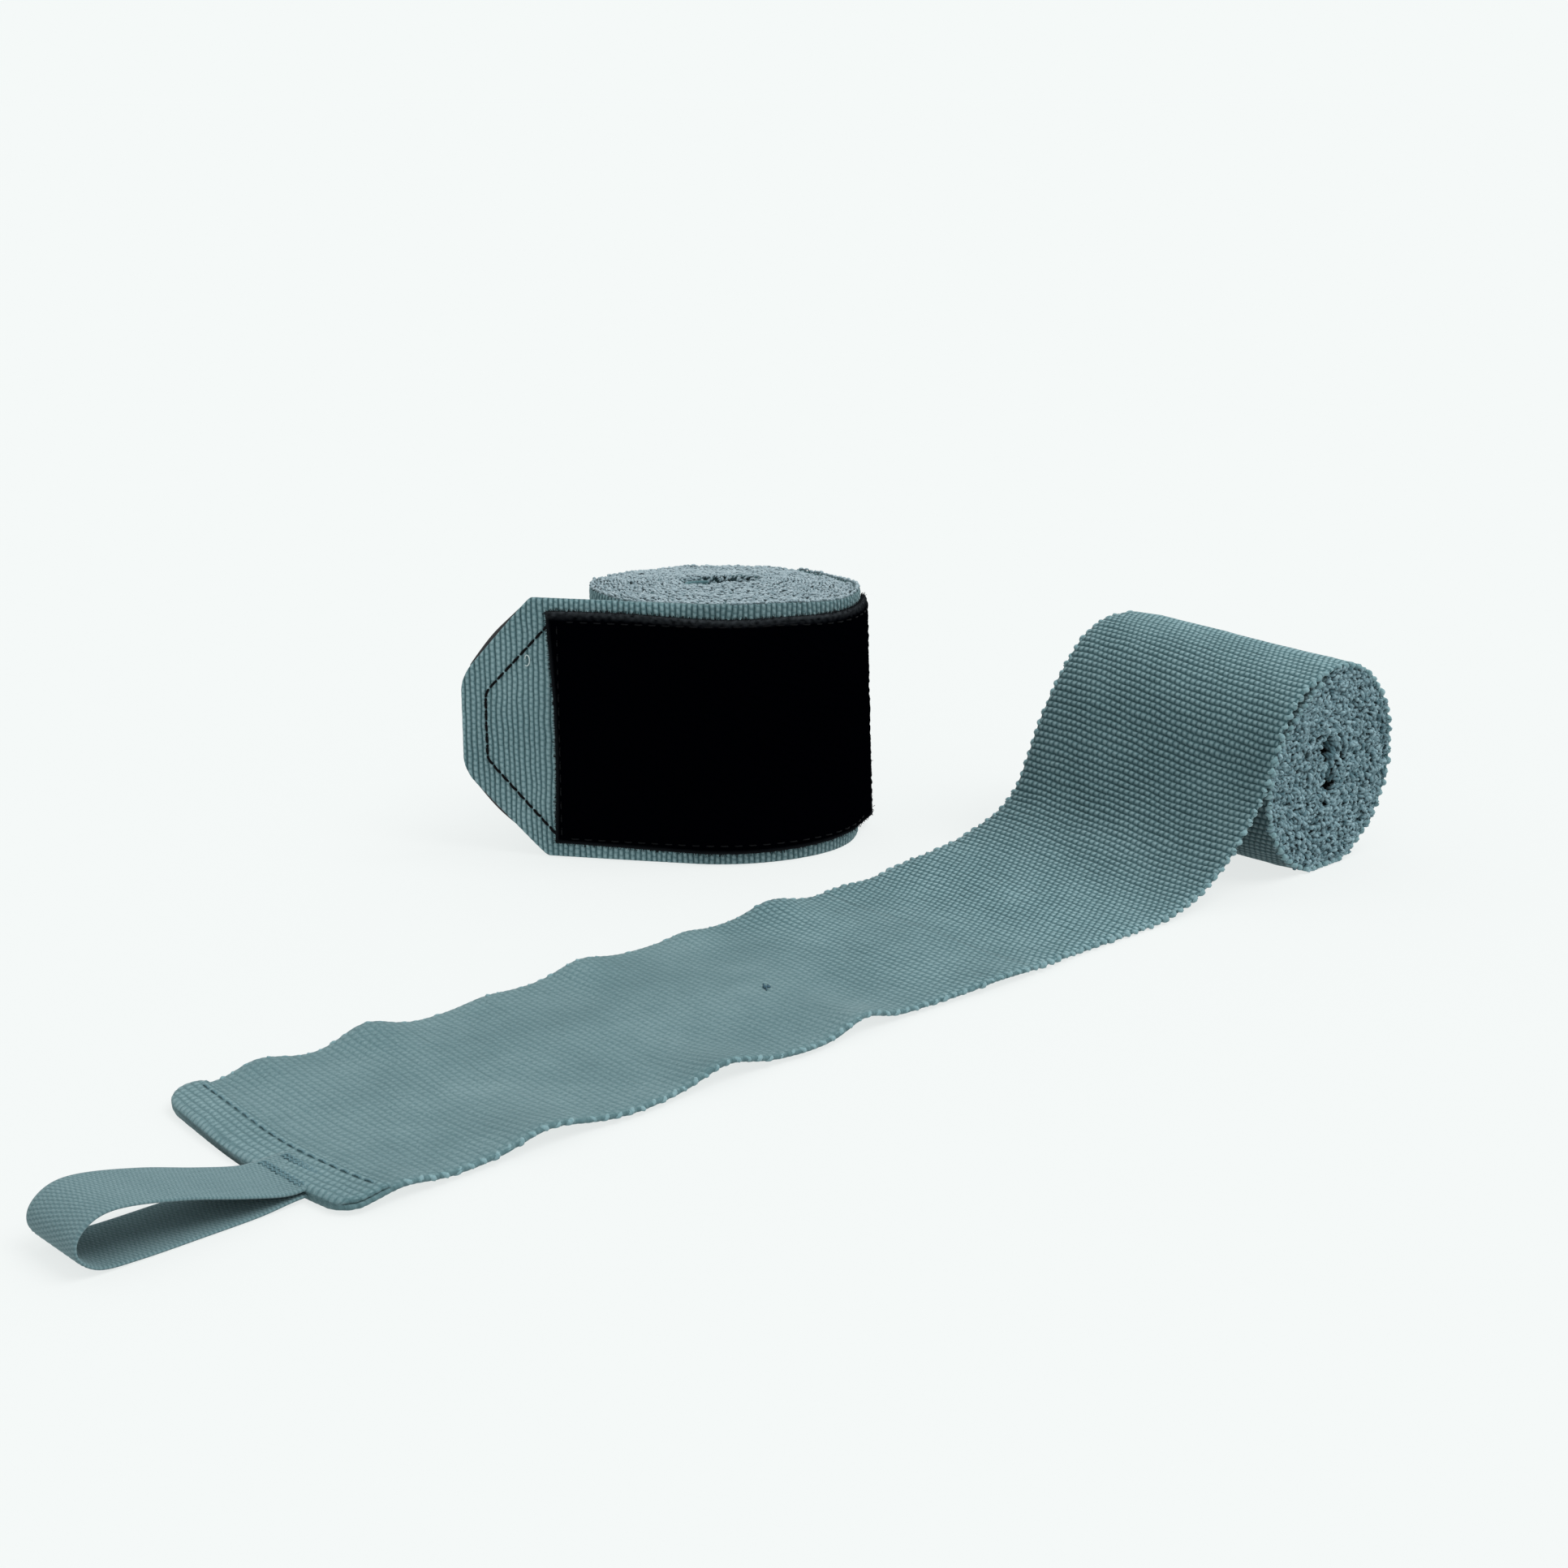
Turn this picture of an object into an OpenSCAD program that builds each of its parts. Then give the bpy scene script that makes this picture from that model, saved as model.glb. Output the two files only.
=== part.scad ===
// A pair of elastic hand wraps: one wound up and standing on its edge with its closure flap
// sticking out, one lying on its side with its outer end laid out along the floor.

/* [Band] */
// Width of the elastic band
band_w = 50; // [48:1:58]
// Thickness of the band where it lies free
band_t = 0.9; // [0.7:0.1:1.2]
// Thickness of the band in the tight fold at a roll's core
core_t = 0.7; // [0.5:0.1:0.8]
// Share of each turn's room that the wound band fills
wound_fill = 0.84; // [0.6:0.02:0.9]

/* [Closed roll] */
// Half of the closed roll's width, side to side
closed_rx = 25.5; // [23:0.5:28]
// Half of the closed roll's depth, front to back
closed_ry = 22.5; // [20:0.5:26]
// How far the roll's middle lies in front of its core
closed_core_back = 4.5; // [0:0.5:5]
// Number of turns in the closed roll
closed_turns = 26; // [20:1:28]
// Turn of the closed roll about its own upright axis
closed_azimuth = -43.3; // [-60:0.1:-20]

/* [Open roll] */
// Radius of the roll that lies on its side
open_r = 20; // [18:0.5:23]
// Number of turns in the open roll
open_turns = 21; // [18:1:24]
// Distance of the open roll's axis from the closed roll's core, along the laid-out strip
open_x = 62.5; // [55:0.5:80]
// Distance of the strip's near edge in front of the closed roll's core
open_front = 99.5; // [95:0.5:110]
// Length of strip from the roll's axis to the free end
strip_l = 219; // [200:1:260]
// Steepness of the strip where it leaves the roll
ramp_angle = 60; // [50:1:65]
// Radius of the bend where the strip reaches the floor
ramp_bend_r = 24; // [18:1:28]

/* [Closure] */
// Length of the loose flap beyond the closed roll
flap_l = 44; // [40:1:50]
// Angle by which the flap points backwards
flap_angle = 11.3; // [5:0.1:15]
// Height of the tip's blunt edge
tip_edge = 17; // [12:1:24]
// Length of the tip's taper
tip_taper = 15; // [12:1:16]
// Length of the loop panel on the loose flap
panel_flap_l = 26; // [22:1:27]
// Height of the loop panel
panel_h = 45; // [38:0.5:46]
// Thickness of the loop panel
panel_t = 1.3; // [1:0.1:1.4]
// Thickness of the hook patch
hook_t = 1.1; // [0.8:0.1:1.2]

/* [Thumb loop] */
// Width of the thumb loop's tape
tape_w = 12; // [10:1:15]
// Length of the thumb loop
loop_l = 32; // [30:1:34]
// Height of the thumb loop where it lies open
loop_h = 8.4; // [8:0.2:12]
// Thickness of one ply of the tape
tape_t = 0.45; // [0.4:0.05:0.5]
// Distance of the tape from the strip's near edge
loop_inset = 8; // [4:1:30]

/* [Stitching] */
// Length of one stitch
stitch_l = 1.7; // [1.2:0.1:2]
// Distance from one stitch to the next
stitch_pitch = 2.6; // [2.4:0.1:4]
// Width and height of the thread
thread_t = 0.35; // [0.2:0.05:0.5]

/* [Hidden] */

fabric = [0.40, 0.52, 0.55];
tape = [0.34, 0.46, 0.49];
black = [0.05, 0.05, 0.06];
clear = 0.15;               // gap between pieces that move apart
bend_gap = 0.4;             // from a bend line in the cloth to the pieces beside it
sewn_lift = 0.05;           // stitches lie this far above the cloth
steps = 20;                 // straight sides in one turn of a roll
short = 0.4;                // a cut path keeps no side shorter than this
panel_z = (band_w - panel_h) / 2;
seam_inset = 1.6;           // from a panel's edge to its stitching
hem_l = 8;                  // length of the folded hem
hem_t = 0.6;                // thickness of the folded ply

// The core of a roll: the band's inner end makes an S through the roll's axis.
eye_x = 3.2;                // each eyelet's distance from the axis
eye_r = 3.0;                // radius of the band round an eyelet
core_rx = 8.6;              // half width of the first turn round the S
core_ry = 5.5;
core_start = -105;          // angle at which the first turn begins
lean = asin(eye_r / eye_x); // slope of the stretch through the axis
eye_first = 60;             // where the band's end lies round the first eyelet
eye_last = -75;             // where the band leaves the second eyelet

// ---- paths in a plane: lists of points, walked from the band's inner end outwards ----

function unit(v) = v / norm(v);
function turned(v, a) = [v.x * cos(a) - v.y * sin(a), v.x * sin(a) + v.y * cos(a)];
function reversed(p) = [for (i = [len(p) - 1:-1:0]) p[i]];
function spoke(a) = [cos(a), sin(a)];
function arc(c, r, a, b, n) = [for (i = [0:n]) c + r * spoke(a + (b - a) * i / n)];
function heading(p, i) = unit(p[min(i + 1, len(p) - 1)] - p[max(i - 1, 0)]);
// The path moved sideways, to its left where off is positive
function beside(p, off) = [for (i = [0:len(p) - 1]) p[i] + off * [-heading(p, i).y, heading(p, i).x]];
function side_l(p, i) = i + 1 < len(p) ? norm(p[i + 1] - p[i]) : 0;
function lengths(p) = [for (i = 0, s = 0; i < len(p); s = s + side_l(p, i), i = i + 1) s];
function at(p, lens, s) = let (i = min(len([for (l = lens) if (l <= s) 1]), len(p) - 1) - 1)
    p[i] + (p[i + 1] - p[i]) * (s - lens[i]) / (lens[i + 1] - lens[i]);
// The part of a path between two distances from its start
function stretch(p, a, b) = let (lens = lengths(p),
    between = [for (i = [0:len(p) - 1]) if (lens[i] > a + short && lens[i] < b - short) p[i]])
    concat([at(p, lens, a)], between, [at(p, lens, b)]);

// A strip that follows a path, between two distances to its left and two heights
module strip(p, low, high, z_low = 0, z_high = band_w)
    translate([0, 0, z_low]) linear_extrude(z_high - z_low)
        polygon(concat(beside(p, low), reversed(beside(p, high))));

// A row of stitches along a path, from one distance to another
module stitch_row(p, off, z, from, to) {
    count = floor((to - from - stitch_l) / stitch_pitch);
    for (i = [0:count]) {
        s = from + i * stitch_pitch;
        strip(stretch(p, s, s + stitch_l), off, off + thread_t, z - thread_t / 2, z + thread_t / 2);
    }
}

// A row of stitches from one height to another
module stitch_column(p, off, s, z_low, z_high) {
    count = floor((z_high - z_low - stitch_l) / stitch_pitch);
    for (i = [0:count])
        strip(stretch(p, s - thread_t / 2, s + thread_t / 2), off, off + thread_t,
            z_low + i * stitch_pitch, z_low + i * stitch_pitch + stitch_l);
}

// ---- the wound band ----

// The S at the core, then the start of the first turn
function core_path(tilt) = [for (v = concat(
    arc([-eye_x, 0], eye_r, eye_first, 270 + lean, 16),
    arc([eye_x, 0], eye_r, 90 + lean, eye_last, 14))) turned(v, tilt)];

function core_oval(a, tilt) = turned([core_rx * cos(a - tilt), core_ry * sin(a - tilt)], tilt);
// outline = [half width, half depth, middle]; share runs from 0 round the core to 1 on the outline
function wound_point(a, share, outline, tilt) = (1 - share) * core_oval(a, tilt)
    + share * (outline[2] + [outline[0] * cos(a), outline[1] * sin(a)]);
// The middle of the band over its first, roomy turns
function roomy_path(outline, tilt, first, share) = [for (i = [0:round(first * steps)])
    let (q = i / steps) wound_point(core_start + tilt - 360 * q, share * q / first, outline, tilt)];
// One side of the tight turns: the same spiral, shifted by part of a turn's room
function wound_side(outline, tilt, first, last, turns, share, shift) = [
    for (i = [0:round((last - first) * steps)])
    let (q = first + i / steps, layer = (q - first + shift) / (turns - first))
    wound_point(core_start + tilt - 360 * q, share + (1 - share) * layer, outline, tilt)];

// ---- the closed roll, standing, its front towards -Y and its core at the origin ----

closed_tilt = 16;           // slope of the line through the two eyelets
closed_outline = [closed_rx, closed_ry, [0.5, -closed_core_back]];
closed_last = closed_turns - 0.4;   // the turn at which the tight winding ends
outer_start = core_start + closed_tilt + 0.4 * 360 - 360 / steps;
flap_start = atan2(-cos(flap_angle) / closed_rx, -sin(flap_angle) / closed_ry);
under_flap = 0.1;           // room between the roll and its outermost turn
outer_sink = 0.35;          // how far the outermost turn starts below the outline
outer_sides = 14;           // straight sides of the outermost turn
panel_side = 3;             // the side of that turn at which the loop panel begins
panel_low = under_flap + band_t;
rim_t = panel_t - thread_t - 2 * sewn_lift; // the panel is pressed down to this where it is sewn
rim_w = 2 * seam_inset;     // width of that rim
closed_core = core_path(closed_tilt);

function outline_point(a, off) = closed_outline[2] + [closed_rx * cos(a), closed_ry * sin(a)]
    + off * unit([cos(a) / closed_rx, sin(a) / closed_ry]);
outer_path = [for (i = [0:outer_sides])
    outline_point(outer_start + (flap_start - outer_start) * i / outer_sides,
        under_flap - outer_sink * pow(1 - i / outer_sides, 2))];
function from_side(p, first) = [for (i = [first:len(p) - 1]) p[i]];

module place_closed() rotate([0, 0, closed_azimuth]) children();

// The flap's own frame: +X along the flap, +Y out of its front
module place_flap() place_closed() translate(outline_point(flap_start, 0))
    rotate([0, 0, 180 - flap_angle]) children();

module closed_band_roll() {
    outer = concat(beside(closed_core, core_t / 2),
        wound_side(closed_outline, closed_tilt, 0, closed_last, closed_turns, 0, wound_fill / 2),
        beside(outer_path, band_t));
    inner = concat(beside(closed_core, -core_t / 2),
        wound_side(closed_outline, closed_tilt, 0, closed_last, closed_turns, 0, -wound_fill / 2),
        outer_path);
    color(fabric) place_closed() linear_extrude(band_w) polygon(concat(outer, reversed(inner)));
}

module closed_band_flap()
    color(fabric) place_flap() translate([clear, under_flap, 0])
        cube([panel_flap_l - bend_gap - clear, band_t, band_w]);

// The closure's tapered tip, from the loop panel's end to the blunt edge
module closed_tip() {
    straight = flap_l - tip_taper;
    edge = (band_w - tip_edge) / 2;
    color(fabric) place_flap() translate([0, under_flap + band_t, 0]) rotate([90, 0, 0])
        linear_extrude(band_t) polygon([[panel_flap_l + bend_gap, 0], [straight, 0], [flap_l, edge],
            [flap_l, band_w - edge], [straight, band_w], [panel_flap_l + bend_gap, band_w]]);
}

// The loop panel's pile round the roll, from one side of the outermost turn on
module wound_pile(first, thickness, low, high)
    translate([0, 0, panel_z + low]) linear_extrude(high - low)
        polygon(concat(from_side(beside(outer_path, band_t), first),
            reversed(from_side(beside(outer_path, band_t + thickness), first))));

module closed_loop_panel_wound()
    color(black) place_closed() {
        wound_pile(panel_side, rim_t, 0, panel_h);
        wound_pile(panel_side + 1, panel_t, rim_w, panel_h - rim_w);
    }

module closed_loop_panel_flap()
    color(black) place_flap() translate([clear, panel_low, panel_z]) {
        cube([panel_flap_l - 2 * bend_gap - clear, rim_t, panel_h]);
        translate([0, 0, rim_w])
            cube([panel_flap_l - rim_w - clear, panel_t, panel_h - 2 * rim_w]);
    }

module closed_panel_seam_wound() {
    path = from_side(outer_path, panel_side);
    off = band_t + rim_t + sewn_lift;
    color(black) place_closed() {
        for (z = [panel_z + seam_inset, panel_z + panel_h - seam_inset])
            stitch_row(path, off, z, rim_w, lengths(path)[len(path) - 1] - 0.5);
        stitch_column(path, off, seam_inset, panel_z + seam_inset, panel_z + panel_h - seam_inset);
    }
}

module closed_panel_seam_flap() {
    path = [[panel_flap_l - bend_gap, panel_low], [0, panel_low]];
    off = -rim_t - sewn_lift - thread_t;
    color(black) place_flap() {
        for (z = [panel_z + seam_inset, panel_z + panel_h - seam_inset])
            stitch_row(path, off, z, rim_w, panel_flap_l - 1);
        stitch_column(path, off, seam_inset, panel_z + seam_inset, panel_z + panel_h - seam_inset);
    }
}

hook_inset = 1.4;           // from the tip's outline to the hook patch
hook_l = 15.5;              // length of the hook patch

// The outline of the tip, drawn in from its edge, in the flap's length and height
function tip_outline(inset, from) = let (straight = flap_l - tip_taper - inset * 0.4,
    edge = (band_w - tip_edge) / 2 + inset * 0.4)
    [[from, inset], [straight, inset], [flap_l - inset, edge], [flap_l - inset, band_w - edge],
        [straight, band_w - inset], [from, band_w - inset]];

module closed_hook_patch()
    color(black) place_flap() translate([0, under_flap, 0]) rotate([90, 0, 0]) linear_extrude(hook_t)
        polygon(tip_outline(hook_inset, flap_l - hook_inset - hook_l));

// One line of stitches inside the tip's outline
module closed_tip_seam() {
    corners = tip_outline(4.5, flap_l - 12);
    color(black) place_flap() translate([0, panel_low + thread_t, 0]) rotate([90, 0, 0])
        for (i = [1:3]) {
            a = corners[i];
            side = corners[i + 1] - a;
            count = floor(norm(side) / stitch_pitch);
            for (k = [0:count - 1])
                translate(a + side * (k + 0.2) / count) rotate([0, 0, atan2(side.y, side.x)])
                    cube([stitch_l, thread_t, thread_t]);
        }
}

// ---- what is wound up in the closed roll's core: the hemmed end and its thumb loop ----

loop_low = core_t / 2 + sewn_lift;  // the loop's near side, from the middle of the band
tack_low = loop_low + 2 * tape_t + 2 * sewn_lift;

module closed_end_hem()
    color(fabric) place_closed()
        strip(stretch(closed_core, 0, hem_l - 2), -core_t / 2 - hem_t, -core_t / 2);

module closed_hem_seam()
    color(fabric) place_closed()
        stitch_column(closed_core, -core_t / 2 - hem_t - thread_t, hem_l - 3.2, 1, band_w - 1);

// The loop's two plies, flat against the band
module closed_thumb_loop() {
    path = stretch(closed_core, 0.5, min(loop_l, lengths(closed_core)[len(closed_core) - 1] - 0.5));
    color(tape) place_closed() {
        strip(path, loop_low, loop_low + tape_t, loop_inset, loop_inset + tape_w);
        strip(path, loop_low + tape_t, loop_low + 2 * tape_t, loop_inset, loop_inset + tape_w);
    }
}

module closed_loop_tack()
    color(fabric) place_closed()
        for (s = [2, 5])
            strip(stretch(closed_core, s, s + 1), tack_low, tack_low + thread_t, loop_inset + 1,
                loop_inset + tape_w - 1);

// ---- the open roll, on its side: paths run in the upright plane, X towards the free end ----

open_tilt = 81;             // slope of the line through the two eyelets
open_outline = [open_r, open_r, [0, 0]];
roomy_turns = 1.2;          // the loop panel lies within these
wound_panel_t = 0.9;        // thickness of the loop panel pressed between turns
wound_panel_l = 72;         // its length
roomy_share = roomy_turns * (core_t + wound_panel_t + 0.1) / (open_r - core_rx);
open_last = open_turns - 0.15;      // the turn at which the strip leaves the roll
open_outer = wound_side(open_outline, open_tilt, roomy_turns, open_last, open_turns, roomy_share,
    wound_fill / 2);
open_inner = wound_side(open_outline, open_tilt, roomy_turns, open_last, open_turns, roomy_share,
    -wound_fill / 2);
open_z = -min([for (p = open_outer) p.y]);  // height of the roll's axis
tip_l = 15;                 // length of the tapered tip along the core
core_join = 5;              // length over which the core's band narrows to the wound band
open_core = concat(core_path(open_tilt),
    roomy_path(open_outline, open_tilt, roomy_turns, roomy_share));

// The strip's underside, from the roll down to the floor
ramp_top = open_inner[len(open_inner) - 1] + [0, open_z];
ramp_drop = ramp_bend_r * (1 - cos(ramp_angle));
ramp_slope_l = (ramp_top.y - ramp_drop) / sin(ramp_angle);
bend_start = ramp_top + ramp_slope_l * [cos(ramp_angle), -sin(ramp_angle)];
bend_middle = bend_start + ramp_bend_r * [sin(ramp_angle), cos(ramp_angle)];
tail_start = bend_middle.x + 4;
ramp_path = concat([ramp_top], arc(bend_middle, ramp_bend_r, 270 - ramp_angle, 270, 8),
    [[tail_start, 0]]);
tail_middle = (tail_start + strip_l) / 2;
hem_start = strip_l - hem_l;

module place_open() translate([open_x, -open_front, 0]) rotate([90, 0, 180]) children();

module place_core() place_open() translate([0, open_z, 0]) children();

module open_band_roll() {
    start = stretch(open_core, tip_l, lengths(open_core)[len(open_core) - 1] - core_join);
    color(fabric) place_core() linear_extrude(band_w) polygon(concat(beside(start, core_t / 2), open_outer,
        reversed(concat(beside(start, -core_t / 2), open_inner))));
}

module open_band_ramp()
    color(fabric) place_open() strip(ramp_path, 0, band_t);

module open_band_tail()
    color(fabric) place_open() translate([tail_start + clear, 0, 0])
        cube([tail_middle - tail_start - 2 * clear, band_t, band_w]);

module open_band_end()
    color(fabric) place_open() translate([tail_middle, 0, 0])
        cube([strip_l - tail_middle, band_t, band_w]);

module open_end_hem()
    color(fabric) place_open() translate([hem_start, band_t, 0]) cube([hem_l, hem_t, band_w]);

module open_hem_seam()
    color(fabric) place_open()
        stitch_column([[hem_start, band_t], [strip_l, band_t]], hem_t, 1.5, 1, band_w - 1);

// The loop seen from its side, drawn in by an inset from its outer outline
function loop_outline(inset) = let (r = loop_h / 2)
    concat([[inset * 3, inset]], arc([loop_l - r, r], r - inset, -90, 90, 12),
        [[inset * 3, band_t + hem_t - inset * 0.9]]);

module open_thumb_loop()
    color(tape) place_open() translate([strip_l + clear, 0, loop_inset]) difference() {
        linear_extrude(tape_w) polygon(loop_outline(0));
        translate([0, 0, -1]) linear_extrude(tape_w + 2) polygon(loop_outline(tape_t));
    }

module open_loop_tack()
    color(tape) place_open()
        for (x = [hem_start + 3, strip_l - 1.5])
            translate([x, band_t + hem_t, loop_inset + 1]) cube([1, thread_t, tape_w - 2]);

// ---- what is wound up in the open roll's core: the closure ----

tip_parts = 6;              // the taper is cut as short lengths of growing width
core_gap = 0.25;            // between the tip and its hook patch, which bend together
panel_from = tip_l + 2.5;

module open_tip()
    color(fabric) place_core() union()
        for (i = [0:tip_parts - 1]) {
            edge = (band_w - tip_edge) / 2 * (1 - (i + 0.5) / tip_parts);
            strip(stretch(open_core, i * tip_l / tip_parts, (i + 1) * tip_l / tip_parts),
                -core_t / 2, core_t / 2, edge, band_w - edge);
        }

module open_hook_patch()
    color(black) place_core() strip(stretch(open_core, 1, hook_l - 1), core_t / 2 + core_gap,
        core_t / 2 + hook_t, band_w / 2 - 9, band_w / 2 + 9);

module open_tip_seam()
    color(black) place_core()
        stitch_column(open_core, -core_t / 2 - thread_t, 3, band_w / 2 - 8, band_w / 2 + 8);

module open_loop_panel()
    color(black) place_core() strip(stretch(open_core, panel_from, panel_from + wound_panel_l),
        -core_t / 2 - wound_panel_t, -core_t / 2 - sewn_lift, panel_z, panel_z + panel_h);

module open_panel_seam()
    color(black) place_core()
        stitch_column(open_core, core_t / 2, panel_from + seam_inset, panel_z + 1,
            panel_z + panel_h - 1);

closed_band_roll();
closed_band_flap();
closed_tip();
closed_loop_panel_wound();
closed_loop_panel_flap();
closed_panel_seam_wound();
closed_panel_seam_flap();
closed_hook_patch();
closed_tip_seam();
closed_end_hem();
closed_hem_seam();
closed_thumb_loop();
closed_loop_tack();
open_band_roll();
open_band_ramp();
open_band_tail();
open_band_end();
open_end_hem();
open_hem_seam();
open_thumb_loop();
open_loop_tack();
open_tip();
open_hook_patch();
open_tip_seam();
open_loop_panel();
open_panel_seam();
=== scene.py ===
"""Looks of a pair of elastic hand wraps: one wound up with its closure flap out, one laid open.

Lengths are in millimetres until a mesh is made. A band is described by s, the distance along it, and w, the
distance across it from the edge that is near the camera or on the floor.
"""

import math

import bpy
import numpy as np
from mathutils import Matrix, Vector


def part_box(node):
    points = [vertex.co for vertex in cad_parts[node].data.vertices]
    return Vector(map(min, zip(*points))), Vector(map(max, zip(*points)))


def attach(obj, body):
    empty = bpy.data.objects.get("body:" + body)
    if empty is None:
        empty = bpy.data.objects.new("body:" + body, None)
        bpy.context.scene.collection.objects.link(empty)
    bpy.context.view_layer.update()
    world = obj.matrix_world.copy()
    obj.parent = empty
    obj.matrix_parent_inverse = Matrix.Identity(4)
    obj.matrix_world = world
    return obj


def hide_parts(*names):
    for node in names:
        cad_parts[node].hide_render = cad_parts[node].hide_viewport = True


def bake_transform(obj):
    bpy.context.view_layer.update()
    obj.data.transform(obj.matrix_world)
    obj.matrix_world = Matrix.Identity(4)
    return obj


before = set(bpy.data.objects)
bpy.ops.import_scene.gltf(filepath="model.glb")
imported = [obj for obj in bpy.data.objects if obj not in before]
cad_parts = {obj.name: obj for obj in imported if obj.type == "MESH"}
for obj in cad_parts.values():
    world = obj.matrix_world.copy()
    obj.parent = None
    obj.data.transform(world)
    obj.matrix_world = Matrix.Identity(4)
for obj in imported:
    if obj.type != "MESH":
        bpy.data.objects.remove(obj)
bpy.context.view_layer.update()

MM = 0.001

# ---- sizes, as in the CAD model ----

BAND_W = 50.0
BAND_T = 0.9
PANEL_T = 1.3
PANEL_H = 45.0
PANEL_Z = 2.5
EYE_X, EYE_R = 3.2, 3.0
EYE_LEAN = math.degrees(math.asin(EYE_R / EYE_X))
EYE_FIRST, EYE_LAST = 60, -75
CORE_RX, CORE_RY = 8.6, 5.5
CORE_START = -105

CLOSED_TURN = math.radians(-43.3)
CLOSED_RX, CLOSED_RY = 25.5, 22.5
CLOSED_MIDDLE = (0.5, -4.5)
CLOSED_TILT = 16
CLOSED_TURNS = 26
CLOSED_LAST = 25.6
FLAP_ANGLE = 11.3
FLAP_START = math.degrees(math.atan2(
    -math.cos(math.radians(FLAP_ANGLE)) / CLOSED_RX, -math.sin(math.radians(FLAP_ANGLE)) / CLOSED_RY))
FLAP_L = 44.0
PANEL_START = 7.05
PANEL_FLAP_L = 26.0
TIP_TAPER = 15.0
TIP_EDGE = 17.0
TIP_ROUND = 2.2
HOOK_L = 15.4

RAMP_BACK = 17.03            # the ramp's node begins this far behind the roll's axis
OPEN_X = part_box("open_band_ramp")[1].x / MM + RAMP_BACK
OPEN_FRONT = -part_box("open_band_tail")[0].y / MM
OPEN_R = 20.0
OPEN_TILT = 81
OPEN_TURNS = 21
OPEN_LAST = 20.85
OPEN_Z = 19.7114
STRIP_L = OPEN_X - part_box("open_band_end")[0].x / MM
TAIL_START = OPEN_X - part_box("open_band_tail")[1].x / MM
TAIL_MIDDLE = OPEN_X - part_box("open_band_end")[1].x / MM
HEM_L = 8.0
LOOP_INSET = 8.0
TAPE_W = 12.0
TAPE_T = 0.45
LYING = 0.62                # from the floor to the middle of the cloth that lies on it

STITCH_L = 1.7              # a sewn stitch, from one to the next, and their distance from the edge
STITCH_PITCH = 2.6
SEAM_INSET = 1.5

# ---- the knit ----

RIB_CLOSED = 1.05          # from one rib to the next
RIB_OPEN = 1.24
BEAD = 1.18                # from one bead to the next along a rib
RIB_SAMPLES = 5            # rows of vertices in one rib
BEAD_STEP = BEAD / 4
EDGE_RIBS = 1.7             # ribs to one yarn turn at the band's edge
BRICK = 0.47                # how far each rib's beads are set off from the rib before, in beads
SLANT = 0.15                # how far a bead leans, in beads across one rib
NUDGE = 0.05                # the step for a surface's slopes
YARN_UP = (0.3, 0.2, 0.9)   # a direction that hardly any yarn runs in, from which their rings are turned
PLAIN_STITCH = [0.5, 0.5, 1.0, 0.0]


# ---- plain geometry ----

def smooth(a, b, x):
    t = np.clip((np.asarray(x, float) - a) / (b - a), 0, 1)
    return t * t * (3 - 2 * t)


def bump(x, middle, half):
    """A smooth rise of height 1 round middle."""
    return np.exp(-((np.asarray(x, float) - middle) / half) ** 2)


def ripples(x, y, wavelength, seed, count=7):
    """Smooth noise from -1 to 1."""
    rng = np.random.default_rng(seed)
    total = 0
    for _ in range(count):
        angle, phase = rng.uniform(0, math.tau, 2)
        k = math.tau / (wavelength * rng.uniform(0.6, 1.7))
        total = total + np.sin(k * (x * math.cos(angle) + y * math.sin(angle)) + phase)
    return total / math.sqrt(count * 2)


def unit(v):
    return v / np.maximum(np.linalg.norm(v, axis=-1, keepdims=True), 1e-12)


def oval(rx, ry, degrees):
    a = np.radians(degrees)
    return np.stack([rx * np.cos(a), ry * np.sin(a)], -1)


def arc(cx, cy, r, a, b, n):
    return np.array([cx, cy]) + oval(r, r, np.linspace(a, b, n + 1))


def turned(p, degrees):
    c, s = math.cos(math.radians(degrees)), math.sin(math.radians(degrees))
    return np.stack([p[:, 0] * c - p[:, 1] * s, p[:, 0] * s + p[:, 1] * c], 1)


def lengths(path):
    return np.concatenate([[0], np.cumsum(np.linalg.norm(np.diff(path, axis=0), axis=1))])


def along(path, s):
    """The points of a path at the distances s, going straight on past both ends."""
    have = lengths(path)
    s = np.asarray(s, float)
    out = np.stack([np.interp(s, have, path[:, k]) for k in range(path.shape[1])], -1)
    first, last = unit(path[1] - path[0]), unit(path[-1] - path[-2])
    out += np.minimum(s, 0)[..., None] * first + np.maximum(s - have[-1], 0)[..., None] * last
    return out


def curve_through(points):
    """A smooth path through a few points, evenly spaced."""
    p = np.asarray(points, float)
    p = np.vstack([2 * p[0] - p[1], p, 2 * p[-1] - p[-2]])
    out = []
    for i in range(1, len(p) - 2):
        t = np.linspace(0, 1, 24, endpoint=False)[:, None]
        a, b, c, d = p[i - 1:i + 3]
        out.append(0.5 * (2 * b + (c - a) * t + (2 * a - 5 * b + 4 * c - d) * t ** 2
                          + (3 * b - a - 3 * c + d) * t ** 3))
    path = np.vstack(out + [p[-2:-1]])
    return along(path, np.arange(0, lengths(path)[-1], 0.25))


def normals_2d(path):
    """The way to the left of a path, at each of its points."""
    d = unit(np.gradient(path, axis=0))
    return np.stack([-d[:, 1], d[:, 0]], 1)


def left_of(path, s):
    """The way to the left of a path, at the distances s along it."""
    normal = normals_2d(path)
    return unit(np.stack([np.interp(s, lengths(path), normal[:, k]) for k in range(2)], 1))


def evenly(path, step):
    """The path's points again, very nearly a step apart."""
    count = int(round(lengths(path)[-1] / step))
    return along(path, np.linspace(0, lengths(path)[-1], count + 1))


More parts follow.
